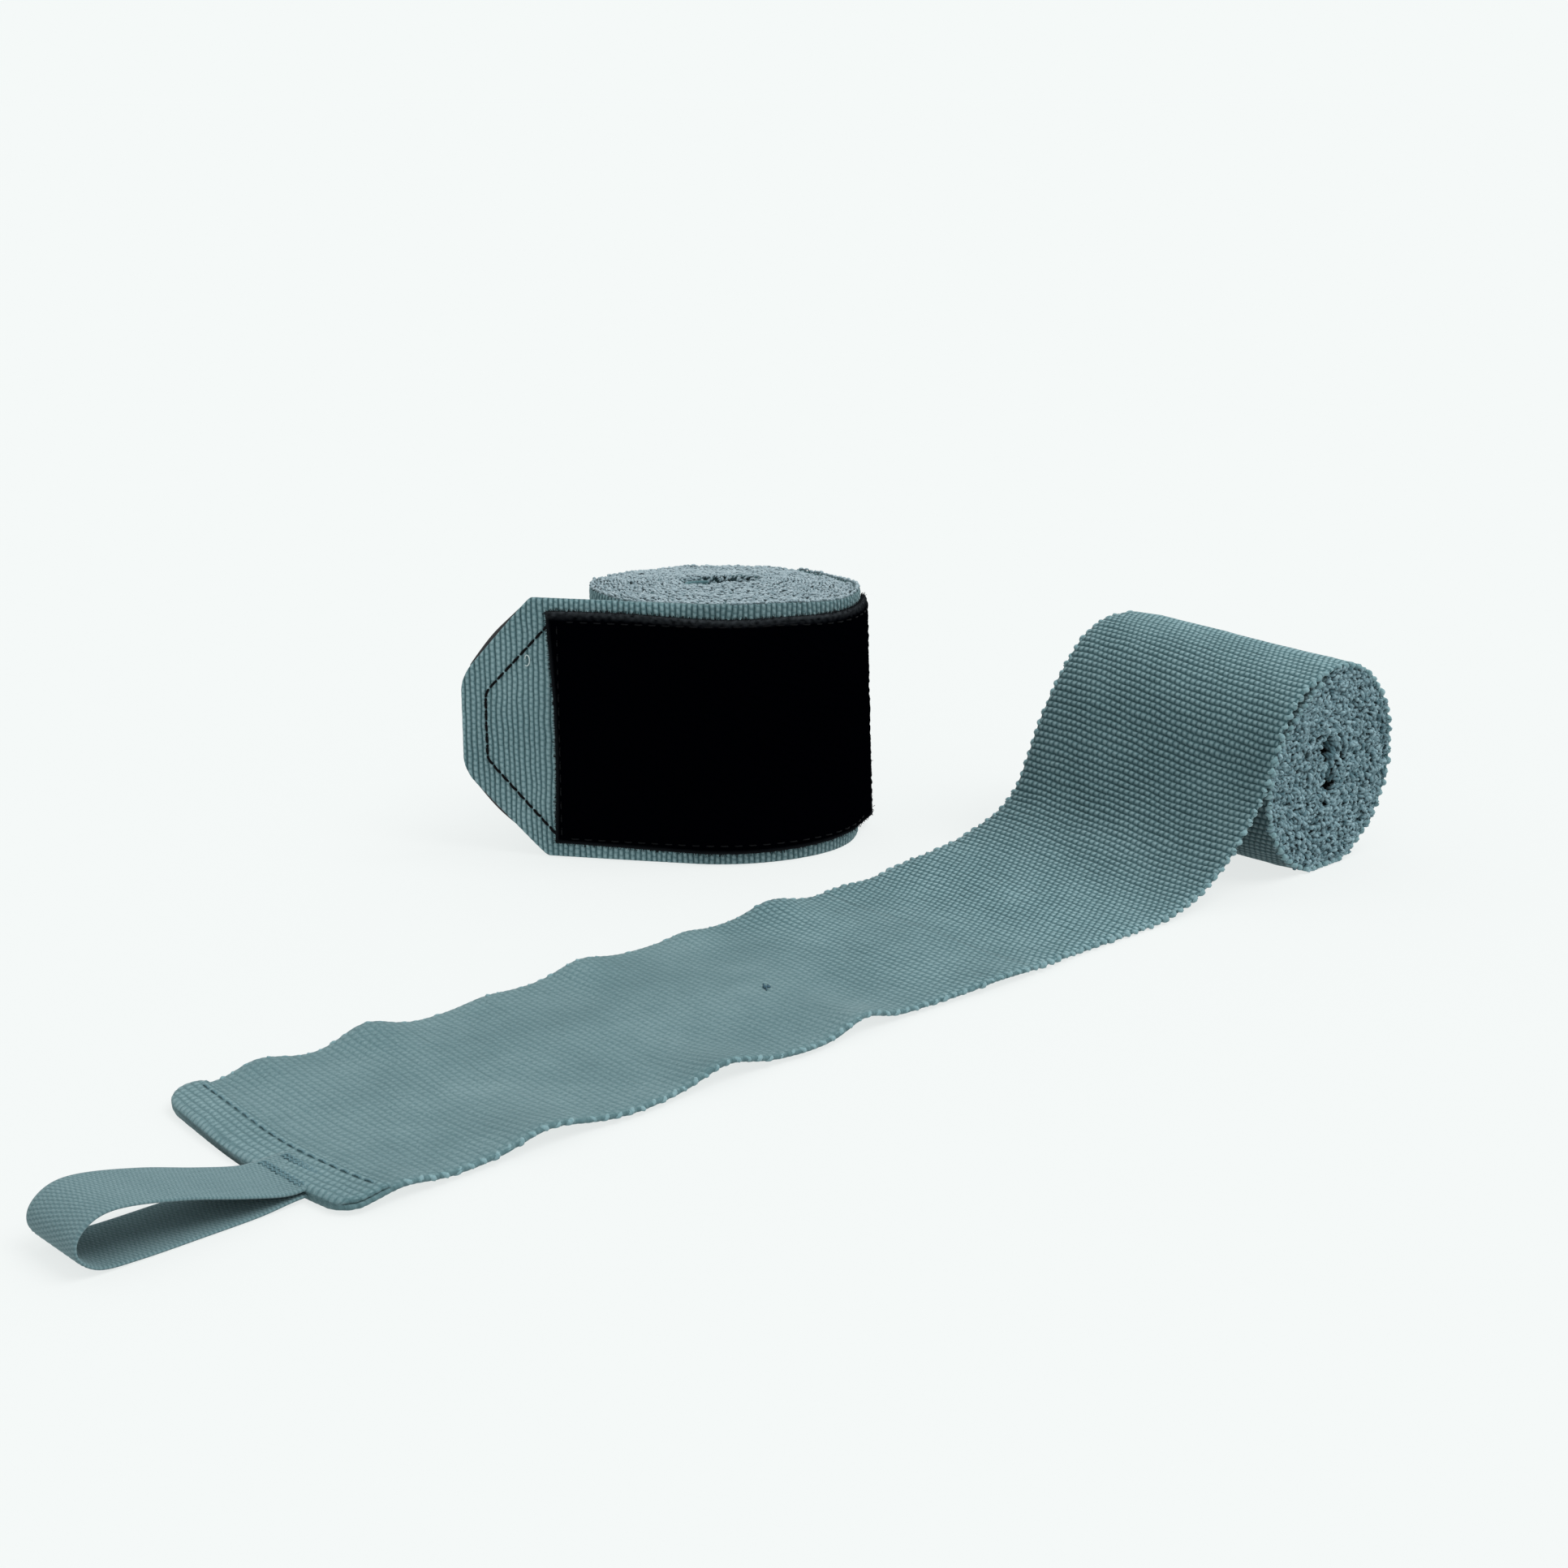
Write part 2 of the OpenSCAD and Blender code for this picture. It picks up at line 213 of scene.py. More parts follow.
# ---- the rolls' spirals ----

def core_path(tilt):
    """The innermost turn of a roll: round one eyelet, and back round the other."""
    return turned(np.vstack([arc(-EYE_X, 0, EYE_R, EYE_FIRST, 270 + EYE_LEAN, 40),
                             arc(EYE_X, 0, EYE_R, 90 + EYE_LEAN, EYE_LAST, 36)]), tilt)


def wound(angle, share, outline, tilt):
    """A spiral's points: at share 0 on the oval round the core, at share 1 on the roll's outline."""
    rx, ry, middle = outline
    share = np.asarray(share)[:, None]
    core = turned(oval(CORE_RX, CORE_RY, angle - tilt), tilt)
    return (1 - share) * core + share * (np.array(middle) + oval(rx, ry, angle))


CLOSED_OUTLINE = (CLOSED_RX, CLOSED_RY, CLOSED_MIDDLE)
OPEN_OUTLINE = (OPEN_R, OPEN_R, (0, 0))


def closed_turn(q):
    return wound(CORE_START + CLOSED_TILT - 360 * q, q / CLOSED_TURNS, CLOSED_OUTLINE, CLOSED_TILT)


def open_turn(q):
    return wound(CORE_START + OPEN_TILT - 360 * q, q / OPEN_TURNS, OPEN_OUTLINE, OPEN_TILT)


def roll_path(tilt, turn, turns, step=0.9):
    """A roll's whole spiral from its core outwards; turn is the function that gives its turns."""
    return evenly(np.vstack([core_path(tilt)[:-1], turn(np.arange(0, turns, 1 / 90))]), step)


# ---- from a wrap's own space to the row frame ----

def place_closed(p):
    """x and y of the roll's spiral, z up. The back and the right-hand side of the roll have settled a little."""
    c, s = math.cos(CLOSED_TURN), math.sin(CLOSED_TURN)
    sunk = 1.0 * smooth(-6, 16, p[..., 1]) + 1.1 * smooth(10, 26, p[..., 0])
    up = p[..., 2] - sunk * smooth(20, BAND_W, p[..., 2])
    return np.stack([p[..., 0] * c - p[..., 1] * s, p[..., 0] * s + p[..., 1] * c, up], -1)


def place_open(p):
    """x towards the free end, y up, z from the near edge to the far one."""
    return np.stack([OPEN_X - p[..., 0], -OPEN_FRONT + p[..., 2], p[..., 1]], -1)


def pressed(p):
    """The open roll is a little flat where the strip leaves it, most of all at the near end."""
    angle = np.degrees(np.arctan2(p[..., 1], p[..., 0]))
    depth = 0.185 * (1 - 0.7 * smooth(0, BAND_W, p[..., 2]))
    share = 1 - depth * bump(angle, 46, 48) * smooth(5, 19, np.hypot(p[..., 0], p[..., 1]))
    return np.concatenate([p[..., :2] * share[..., None], p[..., 2:]], -1)


def place_core(p):
    """The open roll's own space to the row frame; what would reach below the floor is squeezed flat on it."""
    p = pressed(p) + np.array([0, OPEN_Z, 0])
    squeezed = 0.8
    p[..., 1] = np.where(p[..., 1] < squeezed, squeezed * np.exp(p[..., 1] / squeezed - 1), p[..., 1])
    return place_open(p)


def outline_at(angle, off):
    """Points off the closed roll's outline, at angles in degrees."""
    p = np.array(CLOSED_MIDDLE) + oval(CLOSED_RX, CLOSED_RY, angle)
    return p + np.asarray(off)[..., None] * unit(oval(1 / CLOSED_RX, 1 / CLOSED_RY, angle))


FLAP_ORIGIN = outline_at(FLAP_START, 0.0)
FLAP_DIR = np.array([math.cos(math.radians(180 - FLAP_ANGLE)), math.sin(math.radians(180 - FLAP_ANGLE))])
FLAP_FRONT = np.array([-FLAP_DIR[1], FLAP_DIR[0]])       # out of the flap, away from the roll


# ---- meshes ----

def mesh_object(name, points, faces, material, uv=None, values=None, stitch=None):
    """points in millimetres in the row frame; faces is a list of arrays, one row of corners per face."""
    me = bpy.data.meshes.new(name)
    totals = np.concatenate([np.full(len(f), f.shape[1]) for f in faces])
    corners = np.concatenate([f.ravel() for f in faces]).astype(np.int32)
    me.vertices.add(len(points))
    me.vertices.foreach_set("co", (points * MM).astype(np.float32).ravel())
    me.loops.add(len(corners))
    me.loops.foreach_set("vertex_index", corners)
    me.polygons.add(len(totals))
    me.polygons.foreach_set("loop_start", np.concatenate([[0], np.cumsum(totals)[:-1]]).astype(np.int32))
    me.polygons.foreach_set("loop_total", totals.astype(np.int32))
    me.polygons.foreach_set("use_smooth", np.ones(len(totals), bool))
    me.update(calc_edges=True)
    me.validate()
    if uv is not None:
        layer = me.uv_layers.new(name="cloth")
        layer.data.foreach_set("uv", (uv[corners] * MM * 10).astype(np.float32).ravel())
        # height and the stitch's third value carry painted shade, and on the pile painted light, into the materials
        for key, kind, field, data in (("height", "FLOAT", "value", values),
                                       ("stitch", "FLOAT_VECTOR", "vector", stitch[:, :3]),
                                       ("calm", "FLOAT", "value", stitch[:, 3])):
            me.attributes.new(key, kind, "POINT").data.foreach_set(field, data.astype(np.float32).ravel())
    me.materials.append(material)
    ob = bpy.data.objects.new(name, me)
    bpy.context.scene.collection.objects.link(ob)
    return ob


def outward(points, faces):
    """The faces, turned round if the shell is inside out."""
    points = points - points.mean(0)
    volume = 0
    for f in faces:
        for k in range(1, f.shape[1] - 1):
            volume += (points[f[:, 0]] * np.cross(points[f[:, k]], points[f[:, k + 1]])).sum()
    return faces if volume > 0 else [f[:, ::-1] for f in faces]


class Parts:
    """Closed shells gathered into one piece.

    Each point has its place on the flat cloth, a height that sets its brightness and so carries painted shade and,
    on the pile, painted light (0 in a groove, 1 on top of a yarn), and a stitch: which rib, which bead, how open it
    is to the light (painted shade, 0 deep down in a roll), and how faint its ribs are.
    """

    def __init__(self):
        self.points, self.uv, self.values, self.stitch, self.faces, self.count = [], [], [], [], [], 0

    def add(self, points, faces, uv, values, stitch=None):
        self.points.append(points)
        self.uv.append(uv)
        self.values.append(values)
        self.stitch.append(np.tile(PLAIN_STITCH, (len(points), 1)) if stitch is None else stitch)
        self.faces += [f + self.count for f in outward(points, faces)]
        self.count += len(points)

    def add_rings(self, place, points, uv, values, stitch=None):
        """A shell of rings of points, with a cap at both ends."""
        self.add(place(points.reshape(-1, 3)), ring_faces(*points.shape[:2]), uv.reshape(-1, 2), values.reshape(-1),
                 None if stitch is None else stitch.reshape(-1, 4))

    def add_slab(self, place, sides, flat, values):
        """A slab between two grids of points. flat is the grids' place on the cloth."""
        self.add_rings(place, *(np.concatenate([a, b[:, ::-1]], 1) for a, b in (sides, (flat, flat), values)))

    def add_all(self, other):
        for mine, theirs in ((self.points, other.points), (self.uv, other.uv), (self.values, other.values),
                             (self.stitch, other.stitch)):
            mine += theirs
        self.faces += [f + self.count for f in other.faces]
        self.count += other.count

    def make(self, name, material):
        return mesh_object(name, np.concatenate(self.points), self.faces, material, np.concatenate(self.uv),
                           np.concatenate(self.values), np.concatenate(self.stitch))


def ring_faces(n, m):
    """Quads of n rings with m points each, and a cap at both ends."""
    i, j = np.meshgrid(np.arange(n - 1), np.arange(m), indexing="ij")
    k = (j + 1) % m
    quads = np.stack([i * m + j, i * m + k, (i + 1) * m + k, (i + 1) * m + j], -1).reshape(-1, 4)
    return [quads, np.arange(m)[::-1][None], ((n - 1) * m + np.arange(m))[None]]


def add_yarns(parts, paths, radius, sides=5, up=YARN_UP, uv=None, value=0.8):
    """Round yarns along paths, an array (yarns, points, 3). radius is a number or an array (yarns, points)."""
    paths = np.asarray(paths, float)
    n, k, _ = paths.shape
    d = unit(np.gradient(paths, axis=1))
    ref = np.broadcast_to(np.asarray(up, float), d.shape)
    a = unit(np.cross(d, ref) + 1e-6)
    b = np.cross(d, a)
    t = np.arange(sides) * math.tau / sides
    radius = np.broadcast_to(np.asarray(radius, float), (n, k))
    ring = paths[:, :, None] + radius[:, :, None, None] * (
        a[:, :, None] * np.cos(t)[:, None] + b[:, :, None] * np.sin(t)[:, None])
    shift = (np.arange(n) * k * sides)[:, None, None]
    faces = [(f[None] + shift).reshape(-1, f.shape[1]) for f in ring_faces(k, sides)]
    flat = np.broadcast_to(paths[:, :, None, :2] if uv is None else np.asarray(uv)[:, :, None], (n, k, sides, 2))
    parts.add(ring.reshape(-1, 3), faces, flat.reshape(-1, 2), np.full(n * k * sides, value))


def fit(piece, slot, bodies, *stands_for):
    """Parents a piece to the body it rides on, or, given a joint, only fixes its place in the row frame; hides the
    CAD parts it stands for.
    slot, the piece's finish, is not used.
    """
    if isinstance(bodies, str):
        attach(piece, bodies)
    else:
        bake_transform(piece)
    if stands_for:
        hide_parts(*stands_for)


# ---- the knit's relief ----

def relief(s, w, rib, depth, seed=1):
    """The ribbed knit at s and w: its height above the groove, and its place in ribs and beads."""
    ribs = (s + 0.22 * ripples(s, w, 23, seed) + 0.14 * ripples(s, w, 6, seed + 1)) / rib
    beads = w / BEAD + 0.10 * ripples(s, w, 9, seed + 2)
    u = ribs - np.floor(ribs)
    v = beads - BRICK * np.floor(ribs) - SLANT * (u - 0.5)
    v = v - np.floor(v)
    h = (1 - np.abs(2 * u - 1) ** 2.4) * (0.72 + 0.28 * (1 - np.abs(2 * v - 1) ** 2.2))
    return depth * h * (1 + 0.16 * ripples(s, w, 2.7, seed + 3)), ribs, beads


def cloth_frame(surface, s, w):
    """A surface's points, the way across the band, and its normals."""
    across = surface(s, w + NUDGE) - surface(s, w - NUDGE)
    onward = surface(s + NUDGE, w) - surface(s - NUDGE, w)
    return surface(s, w), unit(across), unit(np.cross(onward, across))


def band_piece(name, surface, s, w_top, w_bottom, cloth, depth, seed, thin=BAND_T, edges=None, scallop=0.35,
               flip=1, extra=None, shade=None):
    """A ribbed band. surface(s, w) gives the middle of the cloth; edges(s) gives the lowest and highest w.

    cloth is the rib's width, the material, and the way from the wrap's own space to the row frame.
    """
    rib, material, place = cloth
    core = thin / 2 - depth * 0.45
    nub = (scallop * (0.35 + 0.65 * np.abs(np.sin(math.pi * s / (EDGE_RIBS * rib))) ** 0.7))[:, None]
    columns = []

    def add(p, ss, ww, value, ribs, beads):
        light, calm = (1.0, 0.0) if shade is None else shade(ss, ww)
        columns.append((p, np.stack([ss, ww], -1), np.full_like(ss, value),
                        np.stack([ribs, beads, light + 0 * ss, calm + 0 * ss], -1)))

    for side, w in ((1, w_top), (-1, w_bottom[::-1])):
        ss, ww = np.meshgrid(s, w, indexing="ij")
        if edges is not None:
            low, high = (e[:, None] for e in edges(s))
            ww = low + (high - low) * ww / BAND_W
        p, dw, n = cloth_frame(surface, ss, ww)
        n = n * flip
        h, ribs, beads = relief(ss, ww, rib, depth, seed if side > 0 else seed + 40)
        if shade is not None:
            h = h + 0.65 * shade(ss, ww)[1] * (0.6 * depth - h)
        from_edge = np.minimum(ww - ww.min(1, keepdims=True), ww.max(1, keepdims=True) - ww)
        q = p + side * n * (core + h * smooth(-0.6, 0.7, from_edge))[..., None]
        for j in range(len(w)):
            add(q[:, j], ss[:, j], ww[:, j], 1.0, ribs[:, j], beads[:, j])
        for up, out in ((0.75, 0.75), (0.0, 1.0), (-0.75, 0.75)):
            add(p[:, -1] + side * (n[:, -1] * core * up + dw[:, -1] * nub * out), s, ww[:, -1], 0.8,
                ribs[:, -1], 0.5 + 0 * s)
    parts = Parts()
    parts.add_rings(place, *(np.stack([c[k] for c in columns], 1) for k in range(4)))
    if extra is not None:
        extra(parts)
    return parts.make(name, material)


def rows(start, end, rib):
    """Distances along the band, with RIB_SAMPLES to a rib and one of them in each groove."""
    step = rib / RIB_SAMPLES
    inner = np.arange(math.ceil(start / step + 0.3), math.floor(end / step - 0.3) + 1) * step
    return np.concatenate([[start], inner, [end]])


FINE_W = np.linspace(0, BAND_W, int(round(BAND_W / BEAD_STEP)) + 1)
PLAIN_W = np.linspace(0, BAND_W, 41)


def selvedge(surface, s_from, s_to, radius=(0.48, 0.47), out=(0.68, 0.66)):
    """Yarn turns along both edges of the open band, near and far."""
    def add(parts):
        rng = np.random.default_rng(5)
        pitch = EDGE_RIBS * RIB_OPEN
        middle = (np.arange(math.ceil(s_from / pitch), math.floor(s_to / pitch) + 1) + 0.5) * pitch
        middle = middle[(middle > s_from + 0.3 * pitch) & (middle < s_to - 0.3 * pitch)]
        t = np.linspace(-1, 1, 9)
        for side in (0, 1):
            k = len(middle)
            ss = middle[:, None] + t[None] * RIB_OPEN * rng.uniform(0.34, 0.50, (k, 1))
            reach = out[side] * rng.uniform(0.75, 1.2, (k, 1)) * (1 - np.abs(t) ** 2.2) - 0.35
            ww = BAND_W + reach if side else -reach
            p, _, n = cloth_frame(surface, ss, ww)
            lift = 0.22 * t * rng.choice([-1, 1], (k, 1)) + rng.uniform(-0.12, 0.12, (k, 1))
            p = p + n * lift[..., None]
            r = radius[side] * rng.uniform(0.85, 1.12, (k, 1)) * (0.72 + 0.28 * (1 - np.abs(t) ** 3))
            add_yarns(parts, place_open(p), r, 6, uv=np.stack([ss, ww], -1), value=0.75)
    return add


# ---- materials ----

def nodes_of(name):
    m = bpy.data.materials.new(name)
    m.use_nodes = True
    tree = m.node_tree
    tree.nodes.clear()
    out = tree.nodes.new("ShaderNodeOutputMaterial")
    shader = tree.nodes.new("ShaderNodeBsdfPrincipled")
    tree.links.new(shader.outputs[0], out.inputs[0])
    return m, tree, shader


def finish(tree, shader, colour, height, *, rough, specular, strength, distance):
    """The colour, gloss and bump of a material."""
    tree.links.new(colour, shader.inputs["Base Color"])
    shader.inputs["Roughness"].default_value = rough
    shader.inputs["Specular IOR Level"].default_value = specular
    b = node(tree, "Bump", {"Height": height, "Strength": strength, "Distance": distance})
    tree.links.new(b.outputs[0], shader.inputs["Normal"])


def attribute(tree, name, output="Fac"):
    return node(tree, "Attribute", attribute_name=name, attribute_type="GEOMETRY").outputs[output]


def node(tree, kind, inputs=None, **settings):
    n = tree.nodes.new("ShaderNode" + kind)
    for k, v in settings.items():
        setattr(n, k, v)
    for k, v in (inputs or {}).items():
        if isinstance(v, bpy.types.NodeSocket):
            tree.links.new(v, n.inputs[k])
        else:
            n.inputs[k].default_value = v
    return n


def ramp(tree, value, stops):
    n = node(tree, "ValToRGB", {"Fac": value})
    while len(n.color_ramp.elements) < len(stops):
        n.color_ramp.elements.new(0.5)
    for e, (at, colour) in zip(n.color_ramp.elements, stops):
        e.position = at
        e.color = (*colour, 1)
    return n.outputs["Color"]


def maths(tree, operation, a, b=None, c=None, clamp=False):
    given = {k: v for k, v in enumerate((a, b, c)) if v is not None}
    n = node(tree, "Math", given, operation=operation)
    n.use_clamp = clamp
    return n.outputs[0]


def mixed(tree, kind, factor, a, b):
    n = tree.nodes.new("ShaderNodeMix")
    n.data_type = "RGBA"
    n.blend_type = kind
    for socket, v in ((n.inputs[0], factor), (n.inputs[6], a), (n.inputs[7], b)):
        if isinstance(v, bpy.types.NodeSocket):
            tree.links.new(v, socket)
        else:
            socket.default_value = v
    return n.outputs[2]


def cloth_point(tree, x=1.0, y=1.0):
    """The cloth's own coordinates in millimetres times x and y."""
    uv = node(tree, "UVMap", uv_map="cloth")
    return node(tree, "Mapping", {"Vector": uv.outputs[0], "Scale": (100 * x, 100 * y, 1)}).outputs[0]


def noise(tree, point, scale, detail=2.0, rough=0.5):
    return node(tree, "TexNoise", {"Vector": point, "Scale": scale, "Detail": detail, "Roughness": rough}
                ).outputs["Fac"]


def hump(tree, value, power):
    """1 in the middle of every whole step of value, 0 where the steps meet."""
    t = maths(tree, "MULTIPLY_ADD", maths(tree, "FRACT", value), 2.0, c=-1.0)
    return maths(tree, "SUBTRACT", 1.0, maths(tree, "POWER", maths(tree, "ABSOLUTE", t), power))


def knit_material(name, dark, mid, light, sheen=0.2, stitch_depth=0.42):
    """Matte cotton yarn: painted shade in the grooves and between the beads, painted highlights on the beads,
    flecked, mottled, with fine fibres.
    """
    m, tree, shader = nodes_of(name)
    point = cloth_point(tree)
    height = attribute(tree, "height")
    stitch = attribute(tree, "stitch", "Vector")
    rib, bead, open_to_light = node(tree, "SeparateXYZ", {"Vector": stitch}).outputs
    set_off = maths(tree, "MULTIPLY_ADD", maths(tree, "FLOOR", rib), -BRICK, c=bead)
    leaning = maths(tree, "MULTIPLY_ADD", maths(tree, "FRACT", rib), -SLANT, c=set_off)
    beads = hump(tree, maths(tree, "ADD", leaning, SLANT / 2), 2.0)
    hill = hump(tree, rib, 2.4)
    # painted shade in the grooves and between the beads, painted highlights on the beads' tops
    bridge = maths(tree, "MULTIPLY", maths(tree, "SUBTRACT", 1.0, hill), maths(tree, "SUBTRACT", 1.0, beads))
    yarn = maths(tree, "MULTIPLY", maths(tree, "MULTIPLY_ADD", bridge, 0.45, c=hill),
                 maths(tree, "MULTIPLY_ADD", beads, stitch_depth, c=1.0 - stitch_depth))
    calm = attribute(tree, "calm")
    stir = maths(tree, "MULTIPLY", maths(tree, "SUBTRACT", yarn, 0.55), maths(tree, "SUBTRACT", 1.0, calm))
    # height is a brightness: painted shade on the loops and the inner turns
    yarn = maths(tree, "MULTIPLY", maths(tree, "ADD", stir, 0.55), height)
    fleck = noise(tree, point, 2.6, 3.0, 0.7)
    mottle = noise(tree, point, 0.07, 3.0, 0.55)
    tone = maths(tree, "MULTIPLY_ADD", yarn, 0.80, c=maths(tree, "MULTIPLY", fleck, 0.60))
    tone = maths(tree, "MULTIPLY_ADD", mottle, 0.30, c=tone)
    tone = maths(tree, "SUBTRACT", tone, 0.36, clamp=True)
    colour = ramp(tree, tone, [(0.0, dark), (0.5, mid), (1.0, light)])
    # painted shade: the colour is multiplied by how open each point is to the light; where the ribs are faint it is
    # also made a little darker and less red
    grey = node(tree, "CombineXYZ", {0: open_to_light, 1: open_to_light, 2: open_to_light}).outputs[0]
    colour_with_painted_shade = mixed(tree, "MULTIPLY", calm, mixed(tree, "MULTIPLY", 1.0, colour, grey), (0.93, 0.85, 0.83, 1))
    shader.inputs["Sheen Weight"].default_value = sheen
    shader.inputs["Sheen Roughness"].default_value = 0.45
    shader.inputs["Sheen Tint"].default_value = (0.75, 0.86, 0.88, 1)
    fibre = noise(tree, cloth_point(tree, 1.0, 2.4), 5.5, 3.0, 0.75)
    tuft = noise(tree, point, 1.7, 2.0, 0.6)
    total = maths(tree, "MULTIPLY_ADD", fibre, 0.6, c=maths(tree, "MULTIPLY", tuft, 0.5))
    total = maths(tree, "MULTIPLY_ADD", yarn, 1.3, c=total)
    finish(tree, shader, colour_with_painted_shade, total, rough=0.92, specular=0.15, strength=0.6, distance=0.00022)
    return m


def pile_material(name, base, light):
    """Black brushed loops."""
    m, tree, shader = nodes_of(name)
    height = attribute(tree, "height")
    point = cloth_point(tree)
    speck = noise(tree, point, 3.0, 3.0, 0.8)
    # painted light: height lightens the pile where the panel's rim is painted lighter
    tone = maths(tree, "MULTIPLY", height, maths(tree, "ADD", speck, 0.35), clamp=True)
    finish(tree, shader, ramp(tree, tone, [(0.0, base), (1.0, light)]), noise(tree, point, 4.0, 4.0, 0.8),
           rough=0.95, specular=0.0, strength=0.5, distance=0.0003)
    return m


def thread_material(name, base, light):
    """Twisted sewing thread."""
    m, tree, shader = nodes_of(name)
    twist = noise(tree, cloth_point(tree, 3.0, 0.8), 2.0, 2.0, 0.6)
    finish(tree, shader, ramp(tree, twist, [(0.2, base), (0.9, light)]), twist,
           rough=0.8, specular=0.1, strength=0.4, distance=0.0001)
    return m


def hook_material(name):
    """Black nylon hook tape."""
    m, tree, shader = nodes_of(name)
    grain = noise(tree, cloth_point(tree), 2.2, 2.0, 0.5)
    colour = ramp(tree, grain, [(0.2, (0.004, 0.004, 0.005)), (0.9, (0.016, 0.016, 0.018))])
    finish(tree, shader, colour, grain, rough=0.45, specular=0.5, strength=0.3, distance=0.0001)
    return m


KNIT = knit_material("teal_knit", (0.009, 0.033, 0.040), (0.094, 0.183, 0.203), (0.285, 0.418, 0.447),
                     stitch_depth=0.85)
FLAP_KNIT = knit_material("teal_flap_knit", (0.009, 0.031, 0.037), (0.082, 0.158, 0.174), (0.255, 0.372, 0.396))
LOOPS = knit_material("teal_loops", (0.016, 0.042, 0.050), (0.078, 0.148, 0.174), (0.25, 0.37, 0.41))
# The same loops as teal_loops, made lighter for the closed roll's top, where the light falls: painted light.
TOP_LIT_LOOPS = knit_material("teal_loops_painted_top_light", (0.065, 0.105, 0.120), (0.176, 0.242, 0.272), (0.335, 0.41, 0.445),
                           sheen=0.3)
TAPE = knit_material("teal_tape", (0.025, 0.060, 0.068), (0.095, 0.165, 0.180), (0.20, 0.29, 0.31))
PILE = pile_material("black_pile", (0.0002, 0.0003, 0.0008), (0.030, 0.034, 0.038))
HOOK = hook_material("black_hooks")
BLACK_THREAD = thread_material("black_thread", (0.0003, 0.0004, 0.0008), (0.0015, 0.002, 0.003))
TEAL_THREAD = thread_material("teal_thread", (0.05, 0.11, 0.13), (0.17, 0.27, 0.30))
LINT = thread_material("lint", (0.40, 0.48, 0.48), (0.62, 0.70, 0.70))
FLECK = thread_material("dark_fleck", (0.040, 0.085, 0.115), (0.060, 0.115, 0.145))

OPEN_CLOTH = (RIB_OPEN, KNIT, place_open)
CLOSED_CLOTH = (RIB_CLOSED, FLAP_KNIT, place_closed)


# ---- camera, light and floor ----

def camera():
    data = bpy.data.cameras.new("camera")
    data.lens = 55.77
    data.sensor_width = 36
    data.clip_start = 0.01
    cam = bpy.data.objects.new("camera", data)
    cam.location = (-0.3101, -0.3472, 0.1404)
    cam.rotation_euler = (math.radians(74.1), 0, math.radians(-43.31))
    bpy.context.scene.collection.objects.link(cam)
    bpy.context.scene.camera = cam


def far_light(name, lean, azimuth, angle, power):
    """A soft light from far away, leaning from the vertical towards an azimuth."""
    data = bpy.data.lights.new(name, "SUN")
    data.angle = math.radians(angle)
    data.energy = power
    ob = bpy.data.objects.new(name, data)
    ob.rotation_euler = (0, math.radians(lean), math.radians(azimuth))
    bpy.context.scene.collection.objects.link(ob)


BACKDROP = (0.913, 0.947, 0.939, 1)


def studio():
    """A pale world and a floor that gives off most of its own light, so that both are one even colour."""
    world = bpy.data.worlds.new("studio")
    world.use_nodes = True
    world.node_tree.nodes["Background"].inputs[0].default_value = BACKDROP
    world.node_tree.nodes["Background"].inputs[1].default_value = 1.0
    bpy.context.scene.world = world
    far_light("key", lean=30, azimuth=-60, angle=40, power=2.0)
    m, tree, shader = nodes_of("floor")
    grain = noise(tree, node(tree, "TexCoord").outputs["Object"], 40.0)
    tree.links.new(ramp(tree, grain, [(0.0, (0.124, 0.125, 0.125)), (1.0, (0.126, 0.127, 0.127))]),
                   shader.inputs["Base Color"])
    shader.inputs["Roughness"].default_value = 0.9
    shader.inputs["Emission Color"].default_value = BACKDROP
    shader.inputs["Emission Strength"].default_value = 0.80
    shader.inputs["Specular IOR Level"].default_value = 0.0
    half = 30000.0
    floor = mesh_object("floor", np.array([[-half, -half, -0.05], [half, -half, -0.05], [half, half, -0.05],
                                           [-half, half, -0.05]]), [np.arange(4)[None]], m)


bpy.context.scene.view_settings.view_transform = "Standard"
camera()
studio()

# ---- the open wrap ----

# The middle of the strip's cloth at its near and far edges: x towards the free end, y up from the floor.
RAMP_END = 90.0
RAMP_NEAR = [(-19.2, 24.0), (-13.9, 33.9), (-4.9, 38.4), (4.8, 37.2), (10.9, 34.0), (14.7, 29.6), (16.9, 24.9),
             (18.7, 20.2), (21.6, 15.8), (26.9, 10.4), (32.6, 5.9), (40.2, 2.4), (48.0, 0.9), (56.0, LYING),
             (70.0, LYING), (80.0, LYING), (RAMP_END, LYING)]
RAMP_FAR = [(-19.2, 24.0), (-14.0, 34.2), (-4.5, 39.9), (3.4, 40.6), (9.4, 38.9), (13.4, 36.1), (17.9, 31.3),
            (21.3, 26.6), (23.8, 22.6), (26.8, 16.6), (29.0, 12.4), (31.8, 9.1), (36.4, 6.6), (44.4, 4.2),
            (52.0, 3.0), (60.0, 2.4), (68.0, 1.3), (74.0, 0.75), (80.0, LYING), (RAMP_END, LYING)]
ramp_near, ramp_far = curve_through(RAMP_NEAR), curve_through(RAMP_FAR)
RAMP_S = min(lengths(ramp_near)[-1], lengths(ramp_far)[-1])

# How the strip's edges wave on the floor: where along it, how high, how wide
NEAR_WAVES = [(121.5, 1.7, 5.0), (150.5, 2.0, 6.5), (183.5, 1.8, 7.0), (208.0, 1.0, 5.0), (92.0, 0.5, 7.0)]
FAR_WAVES = [(97.0, 1.8, 6.0), (117.0, 0.7, 4.0), (140.0, 1.5, 6.0), (160.0, 0.5, 5.0), (182.5, 2.1, 5.5),
             (201.0, 1.2, 5.0), (80.0, 0.6, 5.0)]
